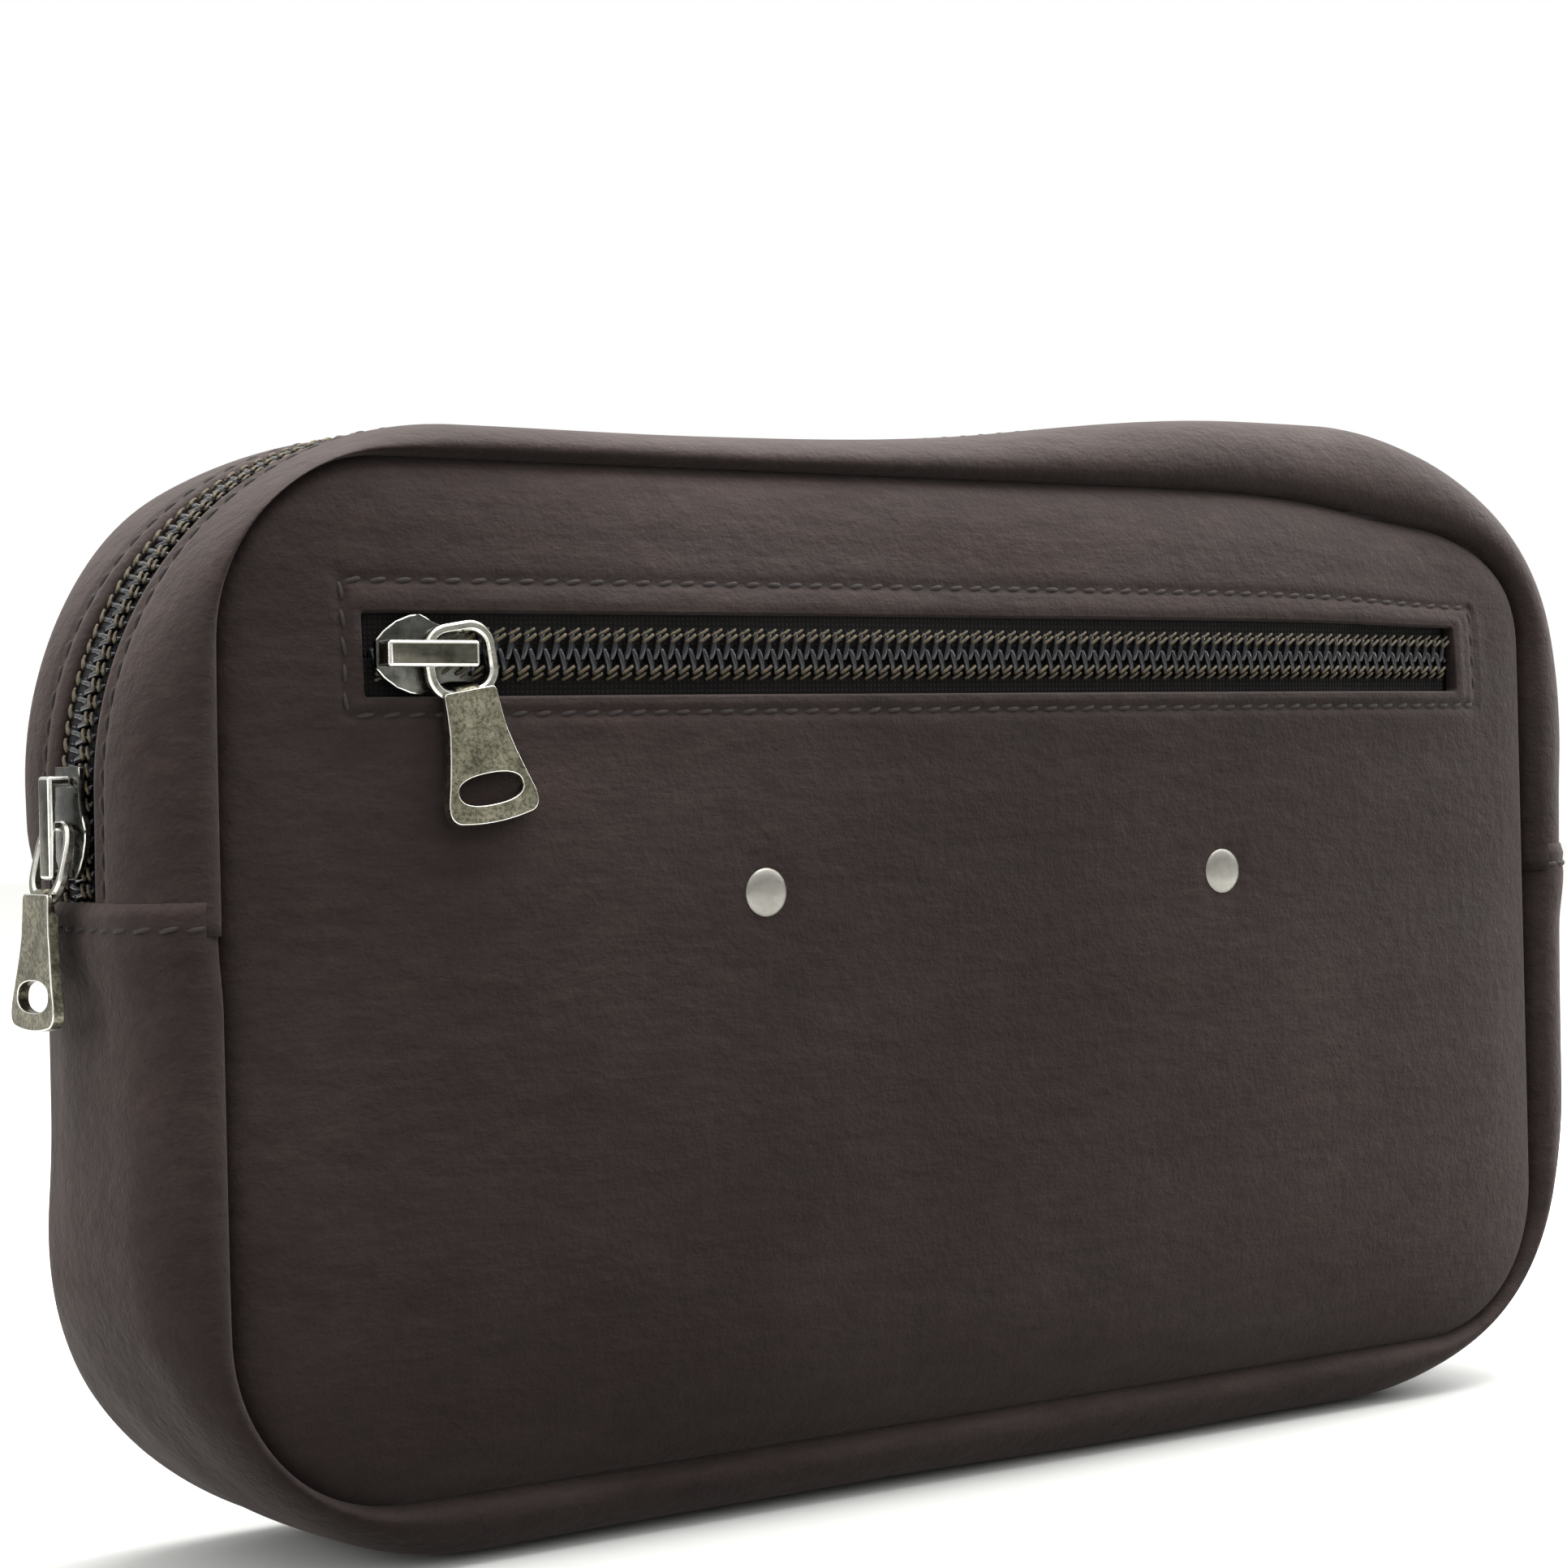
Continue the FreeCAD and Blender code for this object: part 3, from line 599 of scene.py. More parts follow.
def strip_profile():
    """(mix, y, inset) of the front zip strip, from the seam to its folded edge and back inside."""
    top = LIP + [(0.0, -11.6, 0), (0.0, -10.4, 0.02), (0.0, -9.6, 0.22), (0.0, -8.9, 0.34), (0.0, -8.2, 0.2),
                 (0.0, -7.3, 0.02), (0.0, -6.5, 0.15), (0.0, -5.85, 0.5), (0.0, -5.6, 1.1), (0.0, -5.9, 1.8),
                 (0.0, -7.0, 2.2)]
    inside = [(0.0, -10.0, 2.2), (0.0, -14.0, 2.2), (0.3, -17.2, 1.8), (0.8, -19.0, 1.0)]
    return np.vstack([spline(top, 64), spline(inside, 10)])


def lower_profile():
    half = LIP + [(0.0, -10.0, 0), (0.0, -5.0, -0.15), (0.0, 0.0, -0.25)]
    back = [(m, -y, i) for m, y, i in reversed(half[:-1])]
    inside = [(0.9, 18.6, 1.4), (0.35, 17.0, 2.0), (0.0, 13.0, 2.2), (0.0, 0.0, 2.2),
              (0.0, -13.0, 2.2), (0.35, -17.0, 2.0), (0.9, -18.6, 1.4)]
    return np.vstack([spline(half + back, 72), spline(inside, 18)])


def pinch(points):
    """The lower left flank is drawn in a little towards the back, where the belt pulls."""
    x, y, z = points[..., 0], points[..., 1], points[..., 2]
    band = smoothstep(20, 60, z) * (1 - smoothstep(84, 98, z))
    pull = 2.6 * band * smoothstep(2, 20, y) * smoothstep(-90, -120, x)
    points[..., 0] += pull
    return points


def band(q, profile, lift=None):
    """Table of points of a gusset piece."""
    outer = guide(q, "outer")
    seam = guide(q, "seam")
    normal = outward(outer)
    m, y, inset = profile[:, 0], profile[:, 1], profile[:, 2]
    flat = outer[:, None, :] + m[None, :, None] * (seam - outer)[:, None, :]
    flat = flat - inset[None, :, None] * normal[:, None, :]
    if lift is not None:
        away = lift[:, None] * (1 - 0.6 * np.clip(m, 0, 1))[None, :]
        flat = flat + away[..., None] * normal[:, None, :]
    x, z = flat[..., 0], flat[..., 1]
    soft = 0.35 * ripple(x * 1.3 + y[None, :] * 3, z * 1.3, 0.7) * (1 - np.clip(m, 0, 1))[None, :]
    out = np.stack([x + soft * normal[:, None, 0], np.broadcast_to(y, x.shape),
                    z + soft * normal[:, None, 1]], -1)
    out[..., 2] = np.maximum(out[..., 2], np.where(out[..., 2] < 3, 0.0, -9))
    return pinch(out)


FOLD_STITCH_Z = ZIP_END_Z - 3.3


def fold_lift(reach):
    """The lower piece's folded ends lie on the zip strips, so they stand a leather's thickness higher."""
    lift = 1.25 * (1 - smoothstep(5.0, 14.0, reach)) - 0.3 * np.exp(-((reach - 3.3) / 0.7) ** 2)
    return lift - 0.9 * np.exp(-(reach / 0.7) ** 2)


def gusset():
    q = stations(Q_ZIP_LEFT - 0.08, Q_ZIP_RIGHT + 0.08, 1.6)
    profile = strip_profile()
    for side, name in ((1, "gusset_strip_front"), (-1, "gusset_strip_back")):
        shaped = profile * np.array([1, side, 1])
        if side < 0:
            shaped = shaped[::-1]
        piece = mesh_piece("leather_" + name, *swept(band(q, shaped)), LEATHER)
        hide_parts(name)
    q = stations(Q_ZIP_RIGHT, 8 + Q_ZIP_LEFT, 1.6)
    reach = np.minimum(np.abs(q - Q_ZIP_RIGHT), np.abs(8 + Q_ZIP_LEFT - q)) * FLANK
    piece = mesh_piece("leather_gusset_lower", *swept(band(q, lower_profile(), fold_lift(reach))), LEATHER)
    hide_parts("gusset_lower")


gusset()
print("gusset sewn from three pieces")

# %% [markdown]
# ## The panels
# The front panel is crowned by the pocket and whatever the bag holds. Its height is a formula: a quick rise
# at the seam, then a broad dome. The mesh is drawn as rings that grow from the pocket slot out to the seam,
# so that the slot's folded edge and its rows of stitches follow rings instead of cutting across squares.

# %% Front panel height
SLOT = dict(left=-99.6, right=96.6, low=113.1, high=124.3)
SLOT_MID_Z = 0.5 * (SLOT["low"] + SLOT["high"])
STITCHED = dict(left=-101.8, right=101.8, low=111.0, high=128.3)
EDGE_SUNK = 1.4
EDGE_RISE = 1.6
ROLL_RISE = 2.0
DOME = 8.2
DOME_MID_Z = 76.0
DOME_HALF_Z = 69.0


def seam_distance(x, z):
    """Distance inside the seam outline."""
    mid = 0.5 * (SEAM["low"] + SEAM["high"])
    half_z = 0.5 * (SEAM["high"] - SEAM["low"])
    dx = np.abs(x) - (SEAM["half"] - SEAM["r"])
    dz = np.abs(z - mid) - (half_z - SEAM["r"])
    outside = np.hypot(np.maximum(dx, 0), np.maximum(dz, 0)) + np.minimum(np.maximum(dx, dz), 0)
    return SEAM["r"] - outside


def slot_distance(x, z):
    """Distance outside the slot's rectangle."""
    dx = np.maximum(SLOT["left"] - x, x - SLOT["right"])
    dz = np.maximum(SLOT["low"] - z, z - SLOT["high"])
    return np.hypot(np.maximum(dx, 0), np.maximum(dz, 0)) + np.minimum(np.maximum(dx, dz), 0)


def stitched_distance(x, z):
    """Distance from the stitched rectangle round the slot."""
    dx = np.maximum(STITCHED["left"] - x, x - STITCHED["right"])
    dz = np.maximum(STITCHED["low"] - z, z - STITCHED["high"])
    return np.hypot(np.maximum(dx, 0), np.maximum(dz, 0)) + np.minimum(np.maximum(dx, dz), 0)


def dome(x, z):
    """How far the front panel stands in front of the seam."""
    d = np.maximum(seam_distance(x, z), 0)
    across = 1 - (np.abs(x) / SEAM["half"]) ** 3.4
    tall = 1 - (np.abs(z - DOME_MID_Z) / DOME_HALF_Z) ** 4
    edge = EDGE_RISE * (1 - np.exp(-d / 0.9)) + ROLL_RISE * (1 - np.exp(-d / 5.5)) - EDGE_SUNK
    return edge + DOME * np.clip(across, 0, 1) * np.clip(tall, 0, 1)


def front_y(x, z):
    """Y of the front panel's face with its soft unevenness, stitch groove and slot lips."""
    base = dome(x, z)
    inner = smoothstep(2, 16, seam_distance(x, z))
    uneven = 0.45 * ripple(x, z, 0.2) * inner * smoothstep(0, 24, np.hypot(x + 90, z - 118) - 6)
    s = slot_distance(x, z)
    groove = 0.5 * np.exp(-(stitched_distance(x, z) / 0.75) ** 2)
    for rivet_x, rivet_z in ((-41.7, 86.3), (41.7, 86.3)):
        groove = groove + 0.35 * np.exp(-((np.hypot(x - rivet_x, z - rivet_z)) / 4.6) ** 4)
    lip = 0.22 * np.exp(-((s - 1.3) / 0.9) ** 2)
    hollow = 0.25 * np.exp(-((s - 8.5) / 4.0) ** 2)
    return -(SEAM_Y + base + uneven + lip - groove - hollow)


print("crown", round(float(dome(np.array(0.0), np.array(DOME_MID_Z))), 1), "mm")


# %% [markdown]
# ## Front panel mesh
# The mesh is built in rings, from the slot outward to the seam, and each point takes its height from the
# formula.

# %% Front panel mesh
def loop_rectangle(left, right_, low, high, r, counts):
    """Rounded rectangle as four sides and four corners with fixed counts, clockwise from lower left."""
    side, turn_, wide = counts
    pts = []
    corners = [((left + r, high - r), 180), ((right_ - r, high - r), 90),
               ((right_ - r, low + r), 0), ((left + r, low + r), -90)]
    straights = [((left, low + r), (left, high - r), side), ((left + r, high), (right_ - r, high), wide),
                 ((right_, high - r), (right_, low + r), side), ((right_ - r, low), (left + r, low), wide)]
    for (a, b, count), (centre, start) in zip(straights, corners):
        for t in np.linspace(0, 1, count, endpoint=False):
            pts.append((a[0] + (b[0] - a[0]) * t, a[1] + (b[1] - a[1]) * t))
        for t in np.linspace(0, 1, turn_, endpoint=False):
            angle = math.radians(start - 90 * t)
            pts.append((centre[0] + r * math.cos(angle), centre[1] + r * math.sin(angle)))
    return np.array(pts)


PANEL_COUNTS = (44, 20, 330)


def slot_loop(grow):
    return loop_rectangle(SLOT["left"] - grow, SLOT["right"] + grow, SLOT["low"] - grow,
                          SLOT["high"] + grow, 0.8 + grow, PANEL_COUNTS)


def seam_loop(inset):
    return loop_rectangle(-SEAM["half"] + inset, SEAM["half"] - inset, SEAM["low"] + inset,
                          SEAM["high"] - inset, max(SEAM["r"] - inset, 4.0), PANEL_COUNTS)


def front_panel():
    near_slot = [0.0, 0.25, 0.6, 1.1, 1.7, 2.3, 2.8, 3.2, 3.6, 4.1, 4.8, 5.8, 7.0]
    near_seam = [9.0, 7.0, 5.4, 4.1, 3.1, 2.3, 1.6, 1.0, 0.5, 0.15, 0.0]
    rings = [slot_loop(g) for g in near_slot]
    a, b = slot_loop(7.0), seam_loop(9.0)
    rings += [a + (b - a) * t for t in np.linspace(0, 1, 46)[1:-1]]
    rings += [seam_loop(g) for g in near_seam]
    table = []
    for ring in rings:
        y = front_y(ring[:, 0], ring[:, 1])
        table.append(np.stack([ring[:, 0], y, ring[:, 1] - slump(ring[:, 0], ring[:, 1])], 1))
    face = table[0][:, 1]
    mouth = slump(rings[0][:, 0], rings[0][:, 1])
    inner = [np.stack([slot_loop(g)[:, 0], face + back, slot_loop(g)[:, 1] - mouth], 1)
             for g, back in ((0.9, 2.5), (0.1, 2.4), (-0.12, 1.9), (-0.2, 1.2), (-0.16, 0.55), (-0.06, 0.18))]
    rim = slump(rings[-1][:, 0], rings[-1][:, 1])
    tuck = [np.stack([seam_loop(g)[:, 0], np.full(len(face), y), seam_loop(g)[:, 1] - rim], 1)
            for g, y in ((-0.2, -18.4), (0.2, -17.4), (1.5, -17.2))]
    outside = inner + table + tuck
    inside = [t + np.array([0, 1.7, 0]) for t in table[4:-6:3]]
    closed = np.array(outside + inside[::-1])
    points, faces = closed.reshape(-1, 3), grid_faces(len(closed), closed.shape[1], True, True)
    piece = mesh_piece("leather_front_panel", points, faces, LEATHER)
    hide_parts("front_panel")
    return piece


print("front panel:", len(front_panel().data.vertices), "points")


# %% [markdown]
# ## Back panel
# The back lies against the wearer, so it is nearly flat, with the same rolled edge as the front.

# %% Back panel
def back_panel():
    """A nearly flat panel with the same rolled edge."""
    insets = [0.0, 0.15, 0.5, 1.0, 1.6, 2.4, 3.4, 4.8, 6.6, 9.0, 12.0, 16.0, 21.0, 27.0, 34.0, 42.0,
              50.0, 58.0, 65.0]
    rings = []
    for g in insets:
        loop = loop_rectangle(-SEAM["half"] + g, SEAM["half"] - g, SEAM["low"] + g, SEAM["high"] - g,
                              max(SEAM["r"] - g, 2.0), (30, 14, 120))
        d = min(g, 30.0)
        y = SEAM_Y + 2.4 * (1 - math.exp(-d / 1.8)) + 1.7 * (1 - math.exp(-d / 14.0))
        soft = 0.35 * ripple(loop[:, 0], loop[:, 1], 1.9) * min(1.0, g / 12.0)
        rings.append(np.stack([loop[:, 0], y + soft, loop[:, 1] - slump(loop[:, 0], loop[:, 1])], 1))
    start = [np.stack([rings[0][:, 0], np.full(len(rings[0]), y), rings[0][:, 2]], 1) for y in (18.6, 19.4)]
    rings = start + rings
    table = np.array(rings)
    rows, columns, _ = table.shape
    points = list(table.reshape(-1, 3))
    faces = grid_faces(rows, columns, False, True)
    inner = table[::3].copy()
    inner[..., 1] = 18.4
    faces += grid_faces(len(inner), columns, False, True, rows * columns)
    points += list(inner.reshape(-1, 3))
    base = rows * columns
    faces += [(j, (j + 1) % columns, base + (j + 1) % columns, base + j) for j in range(columns)]
    last = (rows - 1) * columns
    faces.append(tuple(last + j for j in range(columns)))
    end = base + (len(inner) - 1) * columns
    faces.append(tuple(end + j for j in range(columns)))
    piece = mesh_piece("leather_back_panel", points, faces, LEATHER)
    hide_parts("back_panel")


back_panel()
print("back panel done")

# %% [markdown]
# ## Zips
# A coil zip is two nylon springs, each sewn to the edge of a tape, whose turns hook into each other. The
# springs are modelled turn by turn: from the front their turns look like little hooks that meet in the
# middle. Two rows of thread hold each spring down, and their slanted stitches make the herringbone look.

# %% Zip generator
COIL_PITCH = 2.2
WIRE = 0.44
COIL_REACH = 3.0


def rail(points, face_out):
    """Dense path with positions, tangents and outward directions, looked up by distance."""
    points = np.asarray(points, float)
    gaps = np.linalg.norm(np.diff(points, axis=0), axis=1)
    s = np.concatenate([[0], np.cumsum(gaps)])
    tangent = unit(np.gradient(points, axis=0))

    def at(d):
        d = np.clip(d, 0, s[-1])
        pos = np.stack([np.interp(d, s, points[:, k]) for k in range(3)], -1)
        tan = unit(np.stack([np.interp(d, s, tangent[:, k]) for k in range(3)], -1))
        out = unit(np.stack([np.interp(d, s, face_out[:, k]) for k in range(3)], -1))
        return pos, tan, out, np.cross(out, tan)

    return at, s[-1]


def coil_half(at, length, side, batch, wide):
    """One spring. Its turns reach from the thread row on its own side just past the middle."""
    turns = int(length / COIL_PITCH) - 1
    steps = 12
    t = np.linspace(0, turns * 2 * np.pi, turns * steps + 1)
    d = 0.6 * COIL_PITCH + (t / (2 * np.pi) + (0.5 if side > 0 else 0.0)) * COIL_PITCH
    reach = 0.5 * (COIL_REACH - 0.7)
    swing = 0.5 * (COIL_REACH + 0.7)
    cosine, sine = np.cos(t), np.sin(t)
    across = side * (reach - swing * cosine) * wide
    height = 0.62 * np.sign(sine) * np.abs(sine) ** 0.7 - 0.66
    head = np.exp(-((cosine - 1) / 0.35) ** 2)
    height = height + 0.12 * head
    pos, _, out, cross = at(d)
    line = pos + cross * across[:, None] + out * height[:, None]
    table = tube_table(line, WIRE, 6)
    batch.add(*swept(table))


def thread_rows(at, length, batch, wide):
    """Slanted stitches over both springs, an inner and an outer row on each side."""
    count = int(length / COIL_PITCH) - 1
    for side in (-1, 1):
        for place, half, rise, slant, thick in ((2.1, 0.8, 0.30, 0.5, 0.29), (2.95, 0.8, -0.05, 0.42, 0.26)):
            for k in range(count):
                d = 0.6 * COIL_PITCH + (k + 0.5 + (0.5 if side > 0 else 0.0)) * COIL_PITCH
                u = np.linspace(-1, 1, 5)
                pos, _, out, cross = at(d + half * u)
                high = rise + 0.16 * (1 - u * u)
                line = pos + cross * (side * place * wide + slant * u)[:, None] + out * high[:, None]
                batch.add(*swept(tube_table(line, thick, 5, squash=0.8)))


def tape_table(at, length, near, far, high, low, step=2.0):
    d = np.linspace(0, length, int(length / step))
    pos, _, out, cross = at(d)
    middle = 0.5 * (near + far)
    corners = [(near, high), (middle, high), (far, high), (far, low), (middle, low), (near, low)]
    return np.stack([pos + cross * a + out * h for a, h in corners], 1)


def zip_chain(prefix, at, length, names, widths, wide=1.0):
    """Both springs, their threads and both tapes of one zip. at() gives the top of the coil."""
    for side, coil_name, tape_name, width in zip((-1, 1), names[:2], names[2:], widths):
        turns = Batch()
        coil_half(at, length, side, turns, wide)
        end = "near" if side < 0 else "far"
        piece = turns.piece(prefix + "_coil_" + end, COIL, "bag", "zip_coil")
        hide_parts(coil_name)
        near, far = side * 0.3, side * width
        table = tape_table(at, length, near, far, -1.35, -1.85)
        tape = mesh_piece(prefix + "_tape_" + end, *swept(table), TAPE, "bag", "zip_tape", False)
        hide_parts(tape_name)
    rows = Batch()
    thread_rows(at, length, rows, wide)
    rows.piece(prefix + "_coil_threads", COIL_THREAD, "bag", "zip_tape")


# %% Pocket zip
# The slider runs straight, so the coil's right end lies a little lower, at the height of its left end.
PARKED_SINK = 0.7


def pocket_rail():
    x = np.arange(SLOT["left"] + 0.2, SLOT["right"] - 0.1, 0.5)
    y = -(SEAM_Y + dome(x, np.full_like(x, SLOT_MID_Z))) + 0.55
    y = y + PARKED_SINK * smoothstep(64, 78, x)
    points = np.stack([x, y, np.full_like(x, SLOT_MID_Z)], 1)
    out = np.broadcast_to(np.array([0.0, -1.0, 0.0]), points.shape)
    return rail(points, out)


pocket_at, pocket_length = pocket_rail()
zip_chain("pocket_zip", pocket_at, pocket_length,
          ("pocket_zip_coil_lower", "pocket_zip_coil_upper",
           "pocket_zip_tape_lower", "pocket_zip_tape_upper"),
          (9.0, 9.0))
print("pocket zip", round(pocket_length), "mm")


# %% [markdown]
# ## Main zip
# The main zip follows the outline over the top of the bag, from one flank to the other.

# %% Main zip
def main_rail():
    q = stations(Q_ZIP_LEFT - 0.1, Q_ZIP_RIGHT + 0.1, 0.8)
    outer = guide(q, "outer")
    normal = outward(outer)
    path = outer - 0.55 * normal
    points = np.stack([path[:, 0], np.zeros(len(q)), path[:, 1]], 1)
    out = np.stack([normal[:, 0], np.zeros(len(q)), normal[:, 1]], 1)
    return rail(points, out)


main_at, main_length = main_rail()
across = main_at(np.array([5.0]))[3][0]
near_side, far_side = ("front", "back") if across[1] > 0 else ("back", "front")
order = tuple("main_zip_%s_%s" % (part, side) for part in ("coil", "tape") for side in (near_side, far_side))
zip_chain("main_zip", main_at, main_length, order, (12.0, 12.0), 1.2)
print("main zip", round(main_length), "mm")

# %% [markdown]
# ## Stitching
# Thread is what tells the eye that leather is sewn. Every stitch is a short, slightly slanted capsule that
# sinks at both ends, laid along a line that is read from the same formulas as the leather under it.

# %% Stitch rows
STITCH_PITCH = 3.5


def stitch(batch, centre, along, out, length=2.7, radius=0.34, slant=0.22):
    """One thread between two needle holes."""
    across = np.cross(out, along)
    u = np.linspace(-1, 1, 7)
    dip = 0.36 * (1 - u ** 2) - 0.26
    line = centre + np.outer(u * length / 2, along) + np.outer(u * slant, across) + np.outer(dip, out)
    thick = radius * np.sqrt(np.clip(1.05 - u ** 4, 0.15, 1))
    table = tube_table(line, 1.0, 7, flat_axis=out)
    table = line[:, None, :] + (table - line[:, None, :]) * thick[:, None, None]
    batch.add(*swept(table))


def stitch_path(batch, points, normals, pitch=STITCH_PITCH, start=0.0, seed=1, **size):
    """Stitches at an even pitch along a curve, each a little different."""
    random = np.random.default_rng(seed)
    points = np.asarray(points, float)
    s = np.concatenate([[0], np.cumsum(np.linalg.norm(np.diff(points, axis=0), axis=1))])
    tangent = unit(np.gradient(points, axis=0))
    d = start + pitch / 2
    made = 0
    while d < s[-1] - pitch * 0.3:
        pick = [np.interp(d, s, points[:, k]) for k in range(3)]
        along = unit(np.array([np.interp(d, s, tangent[:, k]) for k in range(3)]))
        out = unit(np.array([np.interp(d, s, normals[:, k]) for k in range(3)]))
        lean = random.normal(0, 0.05)
        stitch(batch, np.array(pick), unit(along + lean * np.cross(out, along)), out, **size)
        d += pitch * (1 + random.normal(0, 0.012))
        made += 1
    return made


def panel_line(x, z):
    """Points and normals on the front panel's face."""
    y = front_y(x, z)
    e = 0.6
    slope_x = (front_y(x + e, z) - front_y(x - e, z)) / (2 * e)
    slope_z = (front_y(x, z + e) - front_y(x, z - e)) / (2 * e)
    normals = unit(np.stack([slope_x, -np.ones_like(x), slope_z], 1))
    return np.stack([x, y, z - slump(x, z)], 1), normals


def pocket_stitches():
    batch = Batch()
    a, b, c, d = STITCHED["left"], STITCHED["right"], STITCHED["low"], STITCHED["high"]
    along_x = np.linspace(a, b, 300)
    along_z = np.linspace(c, d, 30)
    total = 0
    for k, (x, z) in enumerate(((along_x, np.full(300, d)), (along_x[::-1], np.full(300, c)),
                                (np.full(30, b), along_z[::-1]), (np.full(30, a), along_z))):
        points, normals = panel_line(x, z)
        total += stitch_path(batch, points, normals, seed=k + 3)
    piece = batch.piece("pocket_stitching", THREAD)
    print("pocket stitches", total)
    return piece


def gusset_stitches():
    batch = Batch()
    q = stations(Q_ZIP_LEFT, Q_ZIP_RIGHT, 1.2)
    normal = outward(guide(q, "outer"))
    out = np.stack([normal[:, 0], np.zeros(len(q)), normal[:, 1]], 1)
    total = 0
    for side in (-1, 1):
        table = band(q, np.array([(0.0, side * (STRIP_EDGE + 3.3), 0.26)]))[:, 0]
        total += stitch_path(batch, table, out, seed=11 + side)
    face = lower_profile()
    face = face[:72][np.abs(face[:72, 1]) < 22.45]
    face = face[8:-10]
    for z, sign in ((FOLD_STITCH_Z, -1), (FOLD_STITCH_Z, 1)):
        q0 = (z - CORNER_LOW) / FLANK if sign < 0 else 4 + (CORNER_HIGH - z) / FLANK
        near = q0 + np.array([-0.02, 0.0, 0.02])
        lines = band(near, face, fold_lift(ZIP_END_Z - z + sign * FLANK * np.array([0.02, 0.0, -0.02])))
        climb = unit(lines[2] - lines[0])
        normals = np.cross(unit(np.gradient(lines[1], axis=0)), climb)
        normals = normals * np.where(normals[:, 0] * sign < 0, -1.0, 1.0)[:, None]
        total += stitch_path(batch, lines[1], normals, seed=21 + sign, start=0.8)
    batch.piece("gusset_stitching", THREAD)
    print("gusset stitches", total)


pocket_stitches()
gusset_stitches()

# %% [markdown]
# ## Sliders, rings and pull tabs
# These are die-cast and then tumbled, so each edge carries a thin bright bevel between darker faces. Bevel
# modifiers can give their new faces a second material, which is exactly that look. The plates and bridges
# start as clean copies of the measured shapes; the tabs are drawn again, because a tab is a flared, slightly
# waisted plate with a rounded rim round its oval hole.

# %% Bevelled copies
def bevelled(mesh_object, width, bright, segments=2, angle=28.0):
    if bright is not None:
        mesh_object.data.materials.append(bright)
    modifier = mesh_object.modifiers.new("edge", "BEVEL")
    modifier.width = width * MM
    modifier.segments = segments
    modifier.limit_method = "ANGLE"
    modifier.angle_limit = math.radians(angle)
    modifier.harden_normals = True
    if bright is not None:
        modifier.material = 1
    return mesh_object


def clean_copy(node, name, material, body):
    """A new piece with a node's shape: triangles merged back into flat faces, ready to bevel."""
    source = nodes[node].data
    work = bmesh.new()
    work.from_mesh(source)
    bmesh.ops.remove_doubles(work, verts=work.verts, dist=1e-6)
    bmesh.ops.dissolve_limit(work, angle_limit=math.radians(1.0), verts=work.verts, edges=work.edges)
    mesh = bpy.data.meshes.new(name)
    work.to_mesh(mesh)
    work.free()
    mesh.shade_smooth()
    mesh.materials.append(material)
    piece = bpy.data.objects.new(name, mesh)
    bpy.context.scene.collection.objects.link(piece)
    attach(piece, body)
    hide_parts(node)
    return piece


# %% [markdown]
# ## Sliders
# A slider is a plate over the coil and a bridge on top of it, which holds the pull ring.

# %% Slider plate
def slider_side(t):
    """Half width of the slider's front plate at distance t from the nose: blunt nose, shoulders, neck."""
    knots = [(0.5, 1.9), (1.6, 3.1), (3.4, 4.3), (5.4, 5.05), (6.9, 5.2), (7.9, 4.75), (9.2, 3.85),
             (10.8, 3.55), (13.4, 3.6), (15.0, 3.7)]
    knots = np.array(knots)
    return np.interp(t, knots[:, 0], knots[:, 1])


def extruded_outline(name, outline_, low, high, place, material, body, slot):
    """A flat plate from a closed outline in a piece's own plane; place() turns it into the bag's frame."""
    count = len(outline_)
    points = [place(a, b, low) for a, b in outline_] + [place(a, b, high) for a, b in outline_]
    faces = [tuple(range(count - 1, -1, -1)), tuple(range(count, 2 * count))]
    faces += [(k, (k + 1) % count, count + (k + 1) % count, count + k) for k in range(count)]
    return mesh_piece(name, points, faces, material, body, slot)


def frame_of(origin, x_axis, y_axis, z_axis):
    base = np.array(origin, float)
    axes = np.array([x_axis, y_axis, z_axis], float)

    def place(a, b, c):
        return base + a * axes[0] + b * axes[1] + c * axes[2]

    return place


def slider_plates(prefix, place, body):
    t = np.concatenate([np.linspace(0.5, 3.4, 7), np.linspace(4.0, 12.0, 20), np.linspace(12.8, 14.9, 4)])
    half = slider_side(t)
    loop = list(zip(t, -half)) + list(zip(t[::-1], half[::-1]))
    front_plate = extruded_outline(prefix + "_slider_plate", loop, -0.3, 0.62, place, GUNMETAL, body,
                                   "slider_gunmetal")
    bevelled(front_plate, 0.2, BRIGHT)
    node = prefix + "_slider_body"
    piece = clean_copy(node, prefix + "_slider_casting", GUNMETAL, body)
    bevelled(piece, 0.12, None)
    bridge = clean_copy(prefix + "_slider_bridge", prefix + "_bridge", BAR_FACE, body)
    bevelled(bridge, 0.48, BRIGHT, 3)


NOSE = {"main": (-128.0, 0.0, 90.4), "pocket": (-98.8, -26.3, 118.7)}
main_place = frame_of(NOSE["main"], (0, 0, 1), (0, -1, 0), (-1, 0, 0))
pocket_place = frame_of(NOSE["pocket"], (1, 0, 0), (0, 0, -1), (0, -1, 0))
slider_plates("main", main_place, "main_slider")
slider_plates("pocket", pocket_place, "pocket_slider")
print("slider plates and bridges")


# %% [markdown]
# ## Rings
# Each ring is one closed wire that passes through the slider bridge and the eye of the tab.

# %% Rings
RING_LONG, RING_SHORT, RING_WIRE, RING_BEND = 9.2, 8.6, 0.68, 3.0


